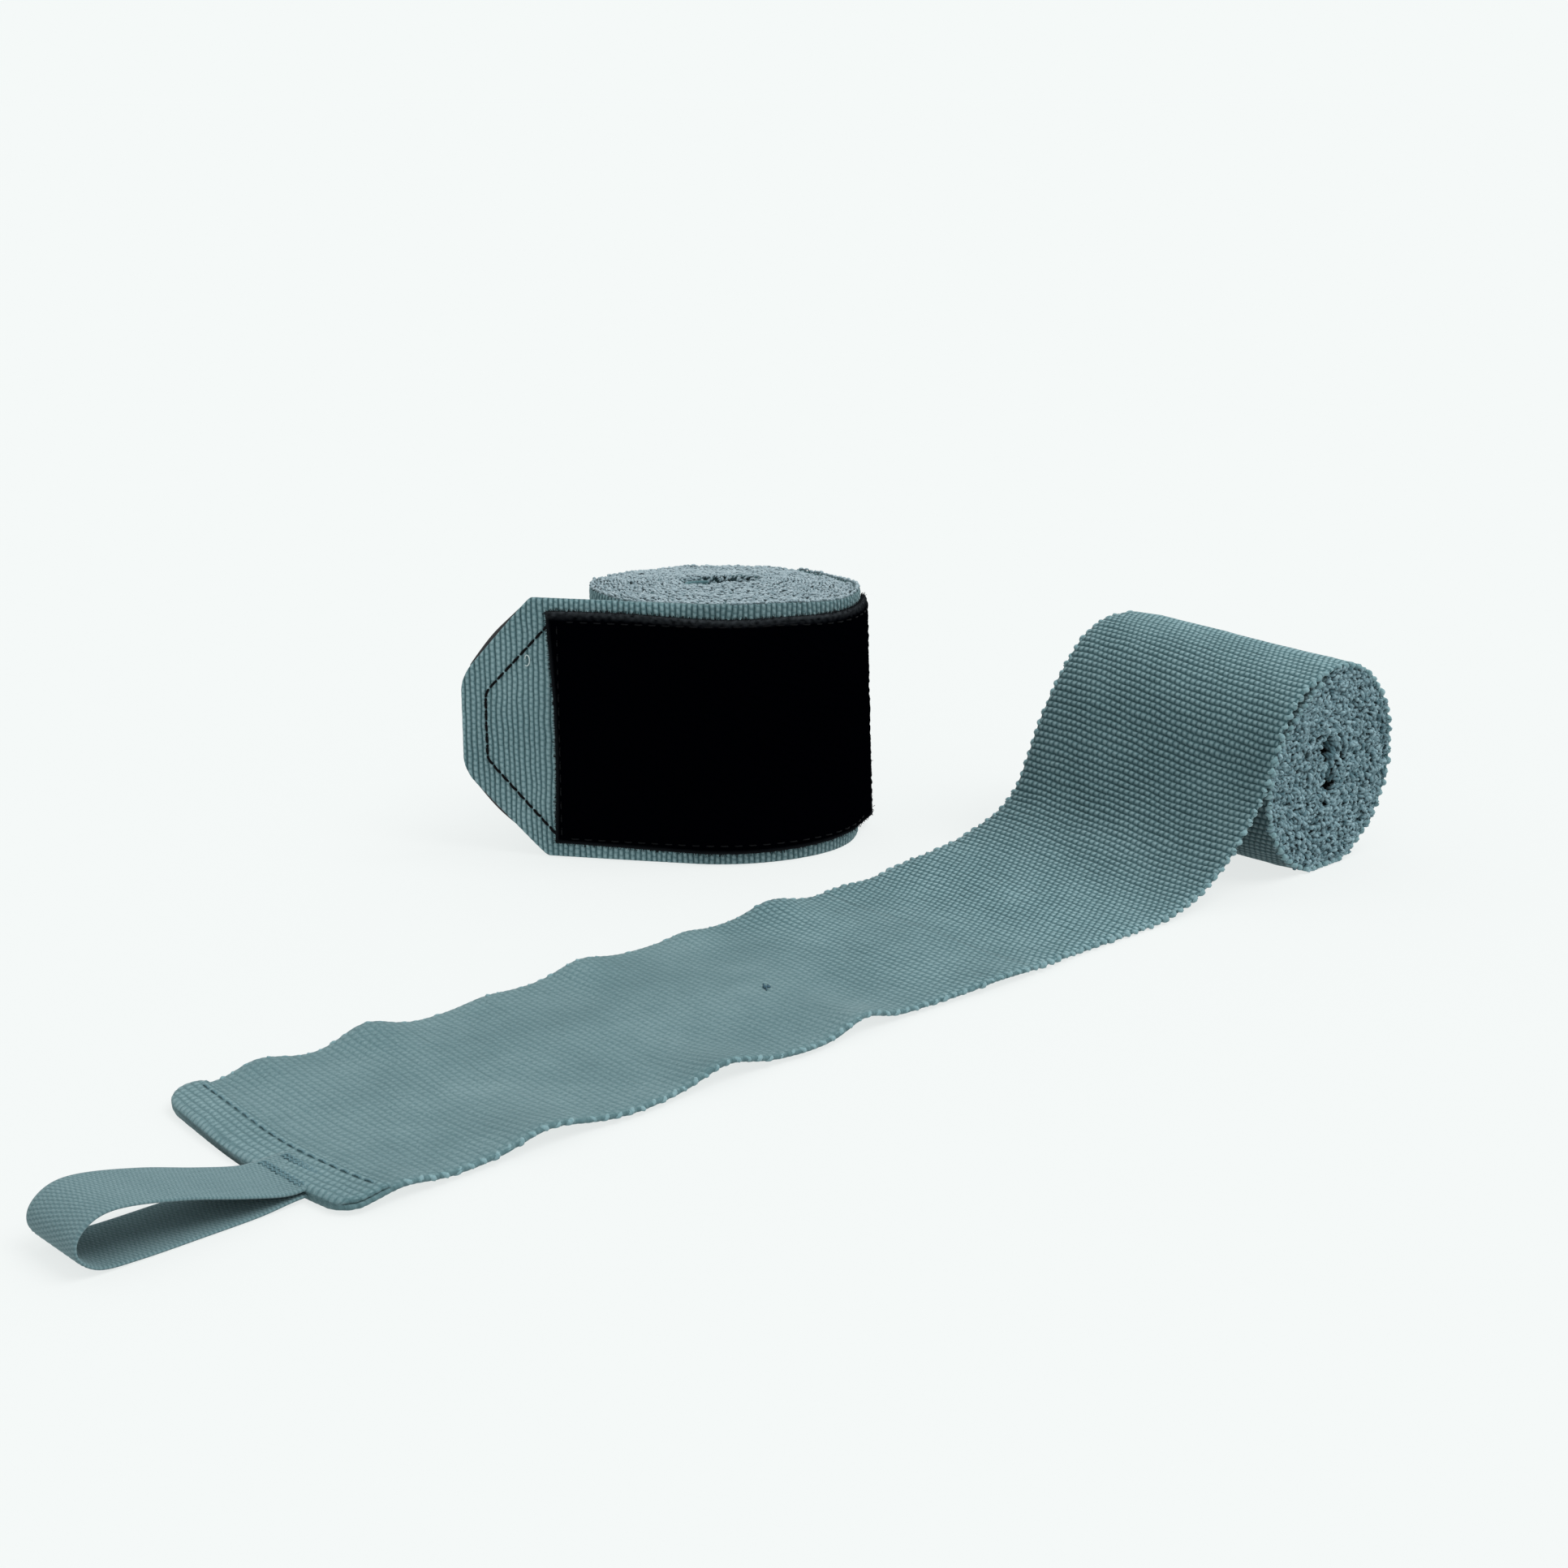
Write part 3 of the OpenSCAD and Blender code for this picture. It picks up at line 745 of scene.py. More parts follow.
# and how far they stray sideways
NEAR_STRAY = [(90.0, 1.3, 15.0), (134.0, 0.9, 7.0), (168.0, 0.7, 6.0)]
FAR_STRAY = [(82.0, -0.6, 8.0), (172.0, -1.7, 16.0), (193.0, -1.4, 7.0), (208.0, -1.2, 5.0), (150.0, -0.6, 8.0)]


def waves(s, table):
    return sum(height * bump(s, at, wide) for at, height, wide in table)


def strip_surface(s, w):
    """The middle of the strip's cloth. s is the distance from the roll's axis, as if the strip ran straight."""
    s, w = np.broadcast_arrays(np.asarray(s, float), np.asarray(w, float))
    s = s - 2.0 * (2 * w / BAND_W - 1) ** 2 * smooth(STRIP_L - 16, STRIP_L, s)
    t = smooth(0, BAND_W, w)
    near = along(ramp_near, s + RAMP_S - RAMP_END)
    far = along(ramp_far, s + RAMP_S - RAMP_END)
    p = near * (1 - t[..., None]) + far * t[..., None]
    p[..., 1] = np.maximum(p[..., 1], LYING)
    flat = smooth(52, 84, s)
    roll_in = 0.45 * flat * (np.exp(-w / 5.0) + np.exp(-(BAND_W - w) / 5.0))
    lift = (waves(s, NEAR_WAVES) * np.exp(-(w.clip(0) / 9.0) ** 1.4)
            + waves(s, FAR_WAVES) * np.exp(-((BAND_W - w).clip(0) / 9.0) ** 1.4))
    belly = 0.35 * flat * (1 + ripples(s, w, 38, 71)) * np.sin(math.pi * np.clip(w / BAND_W, 0, 1))
    across = w - waves(s, NEAR_STRAY) * (1 - smooth(0, 30, w)) + waves(s, FAR_STRAY) * smooth(20, 50, w)
    height = p[..., 1] + (lift + roll_in + belly) * smooth(60, 80, s) + 0.02
    return np.stack([p[..., 0], height, across], -1)


def hem_edges(s):
    """The strip's edges, rounded at the free end."""
    round_far, round_near = 6.0, 3.0
    x = np.clip(s - (STRIP_L - round_far), 0, round_far)
    far = BAND_W - (round_far - np.sqrt(np.maximum(round_far ** 2 - x ** 2, 0.02)))
    x = np.clip(s - (STRIP_L - round_near), 0, round_near)
    near = round_near - np.sqrt(np.maximum(round_near ** 2 - x ** 2, 0.02))
    return near, far


S_TOP = -16.0            # where the outer turn becomes the strip, on top of the roll
S_NEAR = 84.0
S_END = TAIL_MIDDLE + 42.0


def strip_shade(s, w):
    """Painted shade where the strip bends down the ramp, and a little on the roll's top; the grooves close up where
    the strip lies flat, so its ribs grow faint.
    """
    return 1 - 0.33 * bump(s, 20, 22) - 0.10 * bump(s, 0, 14), 0.42 * smooth(62, 92, s) + 0.36 * smooth(96, 124, s)


def open_strip():
    """The strip in three pieces, cut between its bends, so that each piece bends at one joint at most."""
    def stretch(name, start, end, depth, edge_end, reach=None, **more):
        yarns = {} if reach is None else {"radius": reach, "out": reach}
        return band_piece(name, strip_surface, rows(start, end, RIB_OPEN), FINE_W, PLAIN_W, OPEN_CLOTH,
                          depth=depth, extra=selvedge(strip_surface, start, edge_end, **yarns),
                          seed=11, shade=strip_shade, **more)
    flat_reach = (0.42, 0.40)
    near = stretch("open_band_ramp_cloth", S_TOP, S_NEAR, 0.46, S_NEAR)
    x = OPEN_X - TAIL_START
    fit(near, "wrap_fabric", ("open_roll", "strip_near", ((x + 7) * MM, 0, 0), ((x - 8) * MM, 0, 0)),
        "open_band_ramp")
    middle = stretch("open_band_tail_cloth", S_NEAR, S_END, 0.36, S_END, flat_reach)
    x = OPEN_X - TAIL_MIDDLE
    fit(middle, "wrap_fabric", ("strip_near", "strip_end", ((x + 12) * MM, 0, 0), ((x - 12) * MM, 0, 0)),
        "open_band_tail")
    last = stretch("open_band_end_cloth", S_END, STRIP_L, 0.34, STRIP_L - 9, flat_reach, edges=hem_edges)
    fit(last, "wrap_fabric", "strip_end", "open_band_end")


def hem_surface(s, w):
    """The hem's ply, folded back on top of the strip; s runs back from the fold."""
    s, w = np.broadcast_arrays(np.asarray(s, float), np.asarray(w, float))
    base = strip_surface(STRIP_L - s, w)
    rise = 0.85 * np.sqrt(np.clip(s / 0.9, 0, 1)) - 0.25 * smooth(HEM_L - 1.6, HEM_L, s)
    base[..., 1] += rise
    return base


def hem():
    def edges(s):
        return hem_edges(STRIP_L - s)
    piece = band_piece("open_end_hem_cloth", hem_surface, rows(0.15, HEM_L, RIB_OPEN), FINE_W, PLAIN_W, OPEN_CLOTH,
                       depth=0.28, seed=23, thin=0.6, edges=edges, flip=-1, scallop=0.15,
                       shade=lambda s, w: (1.0, 0.6))
    fit(piece, "wrap_fabric", "strip_end", "open_end_hem")


def stitches(name, starts, ends, normals, material, radius=0.17, sink=0.25, place=place_open):
    """Short threads that dip into the cloth at both ends."""
    t = np.linspace(0, 1, 7)
    starts, ends, normals = (np.asarray(v, float) for v in (starts, ends, normals))
    p = starts[:, None] * (1 - t[:, None]) + ends[:, None] * t[:, None]
    p = p + normals[:, None] * (radius * 0.6 - sink * np.abs(2 * t - 1) ** 3)[:, None]
    parts = Parts()
    s = np.broadcast_to(t * 2, p.shape[:2])
    uv = np.stack([s, s * 0 + np.arange(len(p))[:, None]], -1)
    add_yarns(parts, place(p), radius, 6, up=(0.31, 0.2, 0.93), uv=uv, value=0.6)
    return parts.make(name, material)


def hem_seam():
    w = np.arange(2.0, BAND_W - 3.6, STITCH_PITCH)
    s = np.full_like(w, HEM_L - SEAM_INSET)
    a, b = hem_surface(s, w), hem_surface(s, w + STITCH_L)
    up = np.broadcast_to([0.0, 1, 0], a.shape)
    piece = stitches("open_hem_stitches", a + up * 0.42, b + up * 0.42, up, TEAL_THREAD)
    fit(piece, "matching_thread", "strip_end", "open_hem_seam")


def loop_path():
    """The thumb loop's tape, seen from its side: out of the hem's fold, round, and back on top of the hem."""
    x = STRIP_L
    return curve_through([(x - 6.0, 0.85), (x - 2.0, 0.85), (x + 1.0, 0.75), (x + 6.0, 0.35), (x + 14.0, 0.3),
                          (x + 23.0, 0.35), (x + 28.6, 0.85), (x + 31.4, 3.1), (x + 31.2, 5.8), (x + 28.4, 7.8),
                          (x + 24.0, 7.9), (x + 16.0, 6.1), (x + 8.0, 3.6), (x + 2.0, 1.95), (x - 1.5, 1.75),
                          (x - 6.5, 1.75)])


def thumb_loop():
    path = loop_path()
    total = lengths(path)[-1]
    s = np.arange(0, total, 0.2)
    p = along(path, s)
    n = left_of(path, s)
    w = np.linspace(0, TAPE_W, 49)
    ss, ww = np.meshgrid(s, w, indexing="ij")
    ply = 0.5 + 0.5 * np.sin(math.tau * ss / 0.62) * np.where((np.floor(ww / 0.75) % 2) > 0, 1, -1)
    edge = np.minimum(ww, TAPE_W - ww)
    h = TAPE_T / 2 - 0.06 + 0.13 * ply * smooth(0, 0.6, edge)
    twist = 0.5 * np.sin(math.pi * ss / total) * (ww / TAPE_W - 0.5)
    sides = []
    for side in (1, -1):
        q = p[:, None] + n[:, None] * (side * h)[..., None]
        sides.append(np.stack([q[..., 0], q[..., 1], LOOP_INSET + ww + twist], -1))
    value = ply * 0.5 + 0.35
    parts = Parts()
    parts.add_slab(place_open, sides, np.stack([ss, ww], -1), (value, value))
    loop = parts.make("open_thumb_loop_tape", TAPE)
    x = OPEN_X - STRIP_L
    fit(loop, "loop_tape", ("strip_end", "thumb_loop", ((x + 0.5) * MM, 0, 0), ((x - 4.5) * MM, 0, 0)),
        "open_thumb_loop")
    rows_x = [STRIP_L - 5.0, STRIP_L - 4.4, STRIP_L - 1.6, STRIP_L - 1.0]
    w = np.arange(LOOP_INSET + 1.0, LOOP_INSET + TAPE_W - 1.6, 0.55)
    a = np.array([(x + 0.25 * (-1) ** i, 1.98, v) for x in rows_x for i, v in enumerate(w)])
    b = np.array([(x - 0.25 * (-1) ** i, 1.98, v + 0.6) for x in rows_x for i, v in enumerate(w)])
    up = np.broadcast_to([0.0, 1, 0], a.shape)
    tack = stitches("open_loop_tack_stitches", a, b, up, TEAL_THREAD, radius=0.16, sink=0.12)
    fit(tack, "matching_thread", "strip_end", "open_loop_tack")


def wound_cloth(name, path, place, body, stands_for, *, low, high, thick, seed, dip):
    """A wound band's inner turns: a ring of points round the cloth at each step along the path.

    Its edges are a little uneven, and the outer one dips towards the core, which lies in shadow.
    """
    core_l, round_w = 30.0, 0.35
    normal = normals_2d(path)
    s = lengths(path)
    wander = 0.35 * ripples(s, 0 * s, 19, seed) + 0.2 * ripples(s, 0 * s, 4, seed + 1)
    half = thick / 2
    ring = [(half, low + round_w), (half * 0.7, low), (-half * 0.7, low), (-half, low + round_w),
            (-half, (low + high) / 2), (-half, high - round_w), (-half * 0.7, high), (half * 0.7, high),
            (half, high - round_w), (half, (low + high) / 2)]
    columns = []
    for off, w in ring:
        side = -1 if w < (low + high) / 2 - 1 else 1 if w > (low + high) / 2 + 1 else 0
        q = path + normal * off
        sunk = dip * (1 - smooth(10, 60, s)) * (side > 0)
        columns.append(np.concatenate([q, (w + side * wander - sunk)[:, None]], 1))
    points = np.stack(columns, 1)
    uv = np.stack([np.stack([s, np.full_like(s, w)], -1) for _, w in ring], 1)
    stitch = np.tile(PLAIN_STITCH, points.shape[:2] + (1,))
    # painted shade: the cloth in the core is made nearly black, the other inner turns darker, and their height of
    # 0.42 darkens them more
    stitch[..., 2] = (0.06 + 0.64 * smooth(core_l, core_l + 25, s))[:, None]
    parts = Parts()
    parts.add_rings(place, points, uv, np.full(points.shape[:2], 0.42), stitch)
    piece = parts.make(name, KNIT)
    fit(piece, "wrap_fabric", body, stands_for)


FILL = 330                  # yarn loops that cover a roll's core


def edge_loops(path, w_edge, out_sign, place, seed, *, spacing, radius, height, tilt, holes, spread, hollow,
               sides=5, samples=7, fill=FILL):
    """Fuzzy yarn loops that stand along the edge of every turn of a roll.

    holes are the core's eyelets: the middle and radius of each. Loops stand all over the core round them, and
    sink towards them: hollow is how deep, and over what distance. spread is how far loops turn from the path.
    """
    rng = np.random.default_rng(seed)
    total = lengths(path)[-1]
    count = int(total / spacing)
    s = (np.arange(count) + rng.uniform(-0.45, 0.45, count)) * spacing + spacing / 2
    base = along(path, np.clip(s, 0.2, total - 0.2))
    r, a = np.sqrt(rng.uniform(0, 1, fill)), rng.uniform(0, math.tau, fill)
    core = turned(np.stack([(CORE_RX + 0.5) * r * np.cos(a), (CORE_RY + 0.5) * r * np.sin(a)], 1), tilt)
    step = along(path, s + 0.5) - along(path, s - 0.5)
    turn = np.concatenate([np.arctan2(step[:, 1], step[:, 0]) + rng.normal(0, spread, count), a])
    base = np.vstack([base, core])
    from_hole = np.min([np.linalg.norm(base - middle, axis=1) - inner for middle, inner in holes], axis=0)
    base, turn, from_hole = (v[from_hole > 0] for v in (base, turn, from_hole))
    sink = hollow[0] * (1 - smooth(0, hollow[1], from_hole))
    k = len(base)
    t = np.linspace(0, math.pi, samples)
    half = spacing * rng.uniform(0.4, 0.85, (k, 1))
    rise = height * rng.uniform(0.45, 1.3, (k, 1))
    tip = height * rng.normal(0, 0.4, (k, 1))
    turn = turn[:, None]
    run = -np.cos(t)[None] * half
    lean = np.sin(t)[None] ** 2 * tip
    x = run * np.cos(turn) - lean * np.sin(turn)
    y = run * np.sin(turn) + lean * np.cos(turn)
    up = np.sin(t)[None] ** 0.8 * rise - 0.45 + rng.uniform(-0.25, 0.25, (k, 1)) * height
    wave = 0.3 * ripples(base[:, 0], base[:, 1], 7, seed + 9)[:, None] * height
    w = w_edge + out_sign * (up + wave - sink[:, None])
    p = np.concatenate([base[:, None] + np.stack([x, y], -1), w[..., None]], -1)
    parts = Parts()
    r = radius * rng.uniform(0.75, 1.2, (k, 1)) * (0.8 + 0.2 * np.sin(t)[None])
    uv = np.stack([rng.uniform(0, 50, (k, 1)) + 0 * run, rng.uniform(0, 50, (k, 1)) + run], -1)
    add_yarns(parts, place(p), r, sides, up=(0.35, 0.25, 0.9), uv=uv)
    # painted light and shade: each loop lighter at its top and darker at its ends, with random tone, and darker
    # still near the eyelets
    shade = 0.42 + 0.48 * np.sin(t)[None] ** 1.2 * np.minimum(rise / height, 1.1) + rng.normal(0, 0.13, (k, 1))
    shade = shade * (1 - 0.8 * sink[:, None] / max(hollow[0], 0.1))
    parts.values[-1] = np.repeat(np.clip(shade, 0, 1.1).reshape(-1), sides)
    return parts


def eyelets(tilt, *sizes):
    """The middle and the radius of each eyelet in a core."""
    return list(zip(turned(np.array([[EYE_X, 0.0], [-EYE_X, 0.0]]), tilt), sizes))


def open_roll():
    path = roll_path(OPEN_TILT, open_turn, OPEN_LAST - 0.93)
    wound_cloth("open_band_wound_cloth", path, place_core, "open_roll", "open_band_roll",
                low=0.6, high=BAND_W - 0.6, thick=0.46, seed=31, dip=0.3)


def outer_turn():
    """The open roll's outermost turn: it comes out from under the strip, runs under and behind, and ends on top."""
    finish = strip_surface(np.array([S_TOP]), np.array([25.0]))[0][:2]
    turn_angle = math.degrees(math.atan2(finish[1] - OPEN_Z, finish[0]))
    a = np.linspace(turn_angle + 352, turn_angle, 300)
    t = (a[0] - a) / (a[0] - a[-1])
    end_r = math.hypot(finish[0], finish[1] - OPEN_Z)
    radius = 19.4 + (end_r - 19.4) * smooth(0.0, 0.9, t)
    path = oval(radius, radius, a)
    total = lengths(path)[-1]

    def surface(s, w):
        s, w = np.broadcast_arrays(np.asarray(s, float), np.asarray(w, float))
        p = along(path, s - (S_TOP - total))
        p = pressed(np.concatenate([p, w[..., None]], -1)) + np.array([0, OPEN_Z, 0])
        p[..., 1] = np.maximum(p[..., 1], LYING)
        return p

    def joined(s, w):
        """The turn, drawn over to where the strip begins, at every distance across the band."""
        s, w = np.broadcast_arrays(np.asarray(s, float), np.asarray(w, float))
        miss = strip_surface(S_TOP + 0 * s, w) - surface(S_TOP + 0 * s, w)
        return surface(s, w) + miss * smooth(S_TOP - 26, S_TOP, s)[..., None]
    # painted shade: the turn is darker over the first part of its length, under the strip and on the roll's
    # underside
    piece = band_piece("open_band_turn_cloth", joined, rows(S_TOP - total, S_TOP, RIB_OPEN), FINE_W, PLAIN_W[::4],
                       OPEN_CLOTH, depth=0.46, seed=11,
                       shade=lambda s, w: (0.4 + 0.6 * smooth(0.40, 0.56, (s - S_TOP + total) / total), 0.0),
                       extra=selvedge(joined, S_TOP - total, S_TOP, radius=(0.50, 0.46), out=(0.75, 0.6)))
    fit(piece, "wrap_fabric", "open_roll")


def open_roll_loops():
    path = roll_path(OPEN_TILT, open_turn, OPEN_LAST - 0.3)
    for name, w, sign, seed in (("open_near_edge_loops", 0.3, -1, 51),
                                ("open_far_edge_loops", BAND_W - 0.3, 1, 57)):
        parts = edge_loops(path, w, sign, place_core, seed, spacing=0.86, radius=0.33, height=1.0, tilt=OPEN_TILT,
                           holes=eyelets(OPEN_TILT, 1.55, 1.3), spread=0.9, hollow=(0.9, 1.8))
        piece = parts.make(name, LOOPS)
        fit(piece, "wrap_fabric", "open_roll")


open_roll()
outer_turn()
open_roll_loops()
open_strip()
hem()
hem_seam()
thumb_loop()


# ---- the closed wrap ----

FLAP_OFF = 0.55              # from the line of the flap's hinge to the middle of its cloth


def flap_bow(x):
    """How far the flap bows out, at the distances x along it."""
    return 0.25 * np.sin(math.pi * x / FLAP_L)


def panel_bulge(angle):
    """1 at the front of the roll, where its outer layers stand proud."""
    return bump(angle, -32, 22)


def roll_and_flap(a, roll_off, x, flap_off):
    """A path round the roll at the angles a, then at the distances x along the flap."""
    flap = FLAP_ORIGIN + x[:, None] * FLAP_DIR + (flap_off + flap_bow(x))[:, None] * FLAP_FRONT
    return evenly(np.vstack([outline_at(a, roll_off), flap]), 0.25)


def front_path():
    """The middle of the outermost layer: from the right-hand side round the front, then along the flap."""
    a = np.linspace(54, FLAP_START, 160)
    t = (a[0] - a) / (a[0] - a[-1])
    off = -0.25 + 0.80 * smooth(0.0, 0.35, t) + 0.55 * panel_bulge(a)
    return roll_and_flap(a, off, np.linspace(0.5, FLAP_L, 140), FLAP_OFF)


front = front_path()
FRONT_L = lengths(front)[-1]
S_FLAP = FRONT_L - FLAP_L          # where the flap begins along the path
S_CUT = S_FLAP + 13.0


def closed_surface(path):
    def surface(s, w):
        s, w = np.broadcast_arrays(np.asarray(s, float), np.asarray(w, float))
        p = along(path, s)
        return np.concatenate([p, w[..., None]], -1)
    return surface


front_surface = closed_surface(front)
MARGIN_W = np.concatenate([np.arange(0, 4.2, BEAD_STEP), np.linspace(4.6, 45.0, 30),
                           np.arange(45.4, 50.01, BEAD_STEP)])


def tip_edges(s):
    """The tip's lower and upper edges: square until the taper, then drawn in to the blunt end."""
    x = s - S_FLAP
    corner = np.clip(x - (FLAP_L - TIP_ROUND), 0, TIP_ROUND)
    draws = []
    for length in (TIP_TAPER + 1.6, TIP_TAPER - 0.6):
        taper = np.clip(x - (FLAP_L - length), 0, None)
        draw = (BAND_W - TIP_EDGE) / 2 / length * (np.sqrt(taper ** 2 + 0.5) - math.sqrt(0.5)) * (taper > 0)
        draws.append(draw + TIP_ROUND - np.sqrt(np.maximum(TIP_ROUND ** 2 - corner ** 2, 0.05)))
    return draws[0], BAND_W - draws[1]


def bend_at(first, second, x, before, after):
    """The joint that lies x along the flap: its two bodies, and points before and after it on its line."""
    pivot = place_closed(np.append(FLAP_ORIGIN, 0.0))
    onward = place_closed(np.append(FLAP_DIR, 0.0))
    hinge = pivot + x * onward
    return (first, second, [float(v) * MM for v in hinge - before * onward],
            [float(v) * MM for v in hinge + after * onward])


FLAP_BEND = bend_at("closed_roll", "closed_flap", 0.0, 3.0, 6.0)
TIP_BEND = bend_at("closed_flap", "closed_tip_end", PANEL_FLAP_L, 3.0, 4.0)


def closed_band():
    # painted shade: the band is made darker where it lies round the roll than on the flap
    wrap = band_piece("closed_band_front_cloth", front_surface, rows(0.0, S_CUT, RIB_CLOSED), MARGIN_W, PLAIN_W,
                      CLOSED_CLOTH, depth=0.36, seed=81, flip=-1,
                      scallop=0.12, shade=lambda s, w: (0.74 + 0.26 * smooth(S_FLAP - 4, S_FLAP + 6, s), 0.0))
    fit(wrap, "wrap_fabric", FLAP_BEND, "closed_band_flap")
    tip = band_piece("closed_tip_cloth", front_surface, rows(S_CUT, FRONT_L, RIB_CLOSED), FINE_W, FINE_W,
                     CLOSED_CLOTH, depth=0.34, seed=81, flip=-1, edges=tip_edges, scallop=0.08)
    fit(tip, "wrap_fabric", TIP_BEND, "closed_tip")


def closed_roll():
    path = roll_path(CLOSED_TILT, closed_turn, CLOSED_LAST - 0.57)
    wound_cloth("closed_band_wound_cloth", path, place_closed, "closed_roll", "closed_band_roll",
                low=0.15, high=BAND_W - 0.9, thick=0.44, seed=91, dip=1.3)

    # the outermost turn on the left and behind, which goes on under the loop panel
    q = np.linspace(CLOSED_LAST - 0.64, CLOSED_LAST + 0.01, 240)
    back = evenly(closed_turn(q), 0.25)
    total = lengths(back)[-1]
    piece = band_piece("closed_band_back_cloth", closed_surface(back), rows(0.0, total, RIB_CLOSED), FINE_W,
                       PLAIN_W[::4], CLOSED_CLOTH, depth=0.34, seed=87, thin=0.6, flip=-1, scallop=0.12,
                       edges=lambda s: (0 * s, BAND_W - 0.8 + 0 * s))
    fit(piece, "wrap_fabric", "closed_roll")


def closed_loops():
    path = roll_path(CLOSED_TILT, closed_turn, CLOSED_LAST)
    fine = {"radius": 0.25, "sides": 4, "samples": 6}
    parts = edge_loops(path, BAND_W - 0.42, 1, place_closed, 61, spacing=0.85, height=0.42, tilt=CLOSED_TILT,
                       holes=eyelets(CLOSED_TILT, 2.4, 3.0), spread=0.45, hollow=(1.5, 3.4), **fine)
    # and round the rim, in three passes, each further in and lower than the one before
    for end, inset, w, seed in ((S_FLAP - 8, 0.0, 0.30, 67), (26.0, 0.85, -0.35, 69), (22.0, 1.5, -0.50, 71)):
        rim = along(front, np.arange(0.3, end, 0.3))
        rim = rim + inset * unit(np.array(CLOSED_MIDDLE) - rim)
        parts.add_all(edge_loops(rim, BAND_W + w, 1, place_closed, seed, spacing=0.55, height=0.35, tilt=0,
                                 holes=[(np.zeros(2), 0.0)], spread=0.6, hollow=(0.0, 1.0), fill=0, **fine))
    piece = parts.make("closed_top_edge_loops", TOP_LIT_LOOPS)
    fit(piece, "wrap_fabric", "closed_roll")


def panel():
    """The black loop panel: a thick brushed sheet sewn on the band's front."""
    a = np.linspace(PANEL_START, FLAP_START, 110)
    off = 1.05                      # its back, from the line of the roll's outline
    path = roll_and_flap(a, off + 0.55 * panel_bulge(a) * 0.9, np.linspace(0.6, PANEL_FLAP_L, 60), off)
    total = lengths(path)[-1]
    s = np.linspace(0, total, int(total / 0.3))
    p = along(path, s)
    n = left_of(path, s)
    heading = unit(along(path, s + 0.2) - along(path, s - 0.2))
    z = np.linspace(0, PANEL_H, 146)
    ss, zz = np.meshgrid(s, z, indexing="ij")
    rim = np.minimum(np.minimum(zz, PANEL_H - zz), np.minimum(ss, total - ss))
    fuzz = 0.10 * ripples(ss, zz, 1.5, 5) + 0.07 * ripples(ss, zz, 0.8, 6) + 0.06 * ripples(ss, zz, 7, 7)
    puff = PANEL_T * (0.55 + 0.45 * np.sqrt(np.clip(rim / 1.6, 0, 1))) + fuzz
    away = (2.0 * (1 - zz / PANEL_H) + 0.5) * np.clip(1 - ss / 9.0, 0, 1) ** 2
    sag = 0.35 * np.sin(ss / total * 9.0) * bump(zz, PANEL_H, 6) + 0.3 * np.sin(ss / total * 7 + 1) * bump(zz, 0, 6)
    side_bow = (0.9 * np.sin(math.pi * zz / PANEL_H) - 0.9 * zz / PANEL_H) * smooth(total - 9, total, ss)
    sag = sag + (0.3 * zz / PANEL_H - 0.9 * (1 - zz / PANEL_H)) * bump(ss, 0, 9)
    layers = []
    for lift in (puff, 0.02 * puff):
        q = p[:, None] + n[:, None] * (lift + away)[..., None] - heading[:, None] * side_bow[..., None]
        layers.append(np.concatenate([q, (PANEL_Z + zz + sag)[..., None]], -1))
    # painted light: the panel's rim is made lighter, most of all along its top edge, where light falls from above,
    # speckled by the nap, with a thin line near its start
    nap = 0.5 + 0.5 * ripples(ss, zz, 0.9, 12)
    painted_rim_light = (np.clip(1.15 - (PANEL_H - zz) / 1.3, 0, 1) * nap + 0.35 * np.clip(1 - rim / 0.9, 0, 1)
                  + 0.30 * bump(ss, 1.6, 0.35))
    parts = Parts()
    parts.add_slab(place_closed, layers, np.stack([ss, zz], -1), (painted_rim_light, 0 * painted_rim_light))
    rng = np.random.default_rng(19)
    hairs = []
    m = len(z)
    rim_at = [(int(i), m - 1, 0, 1) for i in rng.integers(0, len(s), 900)]
    rim_at += [(int(i), 0, 0, -1) for i in rng.integers(0, len(s), 420)]
    rim_at += [(len(s) - 1, int(j), 1, 0) for j in rng.integers(0, m, 420)]
    rim_at += [(0, int(j), -1, 0) for j in rng.integers(0, m, 260)]
    t = np.linspace(0, 1, 5)
    for i, j, ds, dz in rim_at:
        root = layers[0][i, j] * 0.5 + layers[1][i, j] * 0.5
        tangent, out = np.append(heading[i], 0), np.append(n[i], 0)
        a = rng.normal(0, 0.5, 3)
        go = tangent * (ds + a[0]) + np.array([0, 0, 1.0]) * (dz + a[1]) + out * (0.25 + 0.5 * abs(a[2]))
        go = go / np.linalg.norm(go) * rng.uniform(0.4, 1.1)
        root = root - 0.4 * (tangent * ds + np.array([0, 0, dz])) + out * rng.uniform(-0.3, 0.3)
        hairs.append(root + t[:, None] * go + (t[:, None] ** 2) * out * rng.uniform(-0.4, 0.1))
    add_yarns(parts, place_closed(np.array(hairs)), 0.055, 3, value=0.55)
    piece = parts.make("closed_loop_panel_pile", PILE)
    fit(piece, "loop_pile", FLAP_BEND, "closed_loop_panel_wound", "closed_loop_panel_flap")
    return path, total


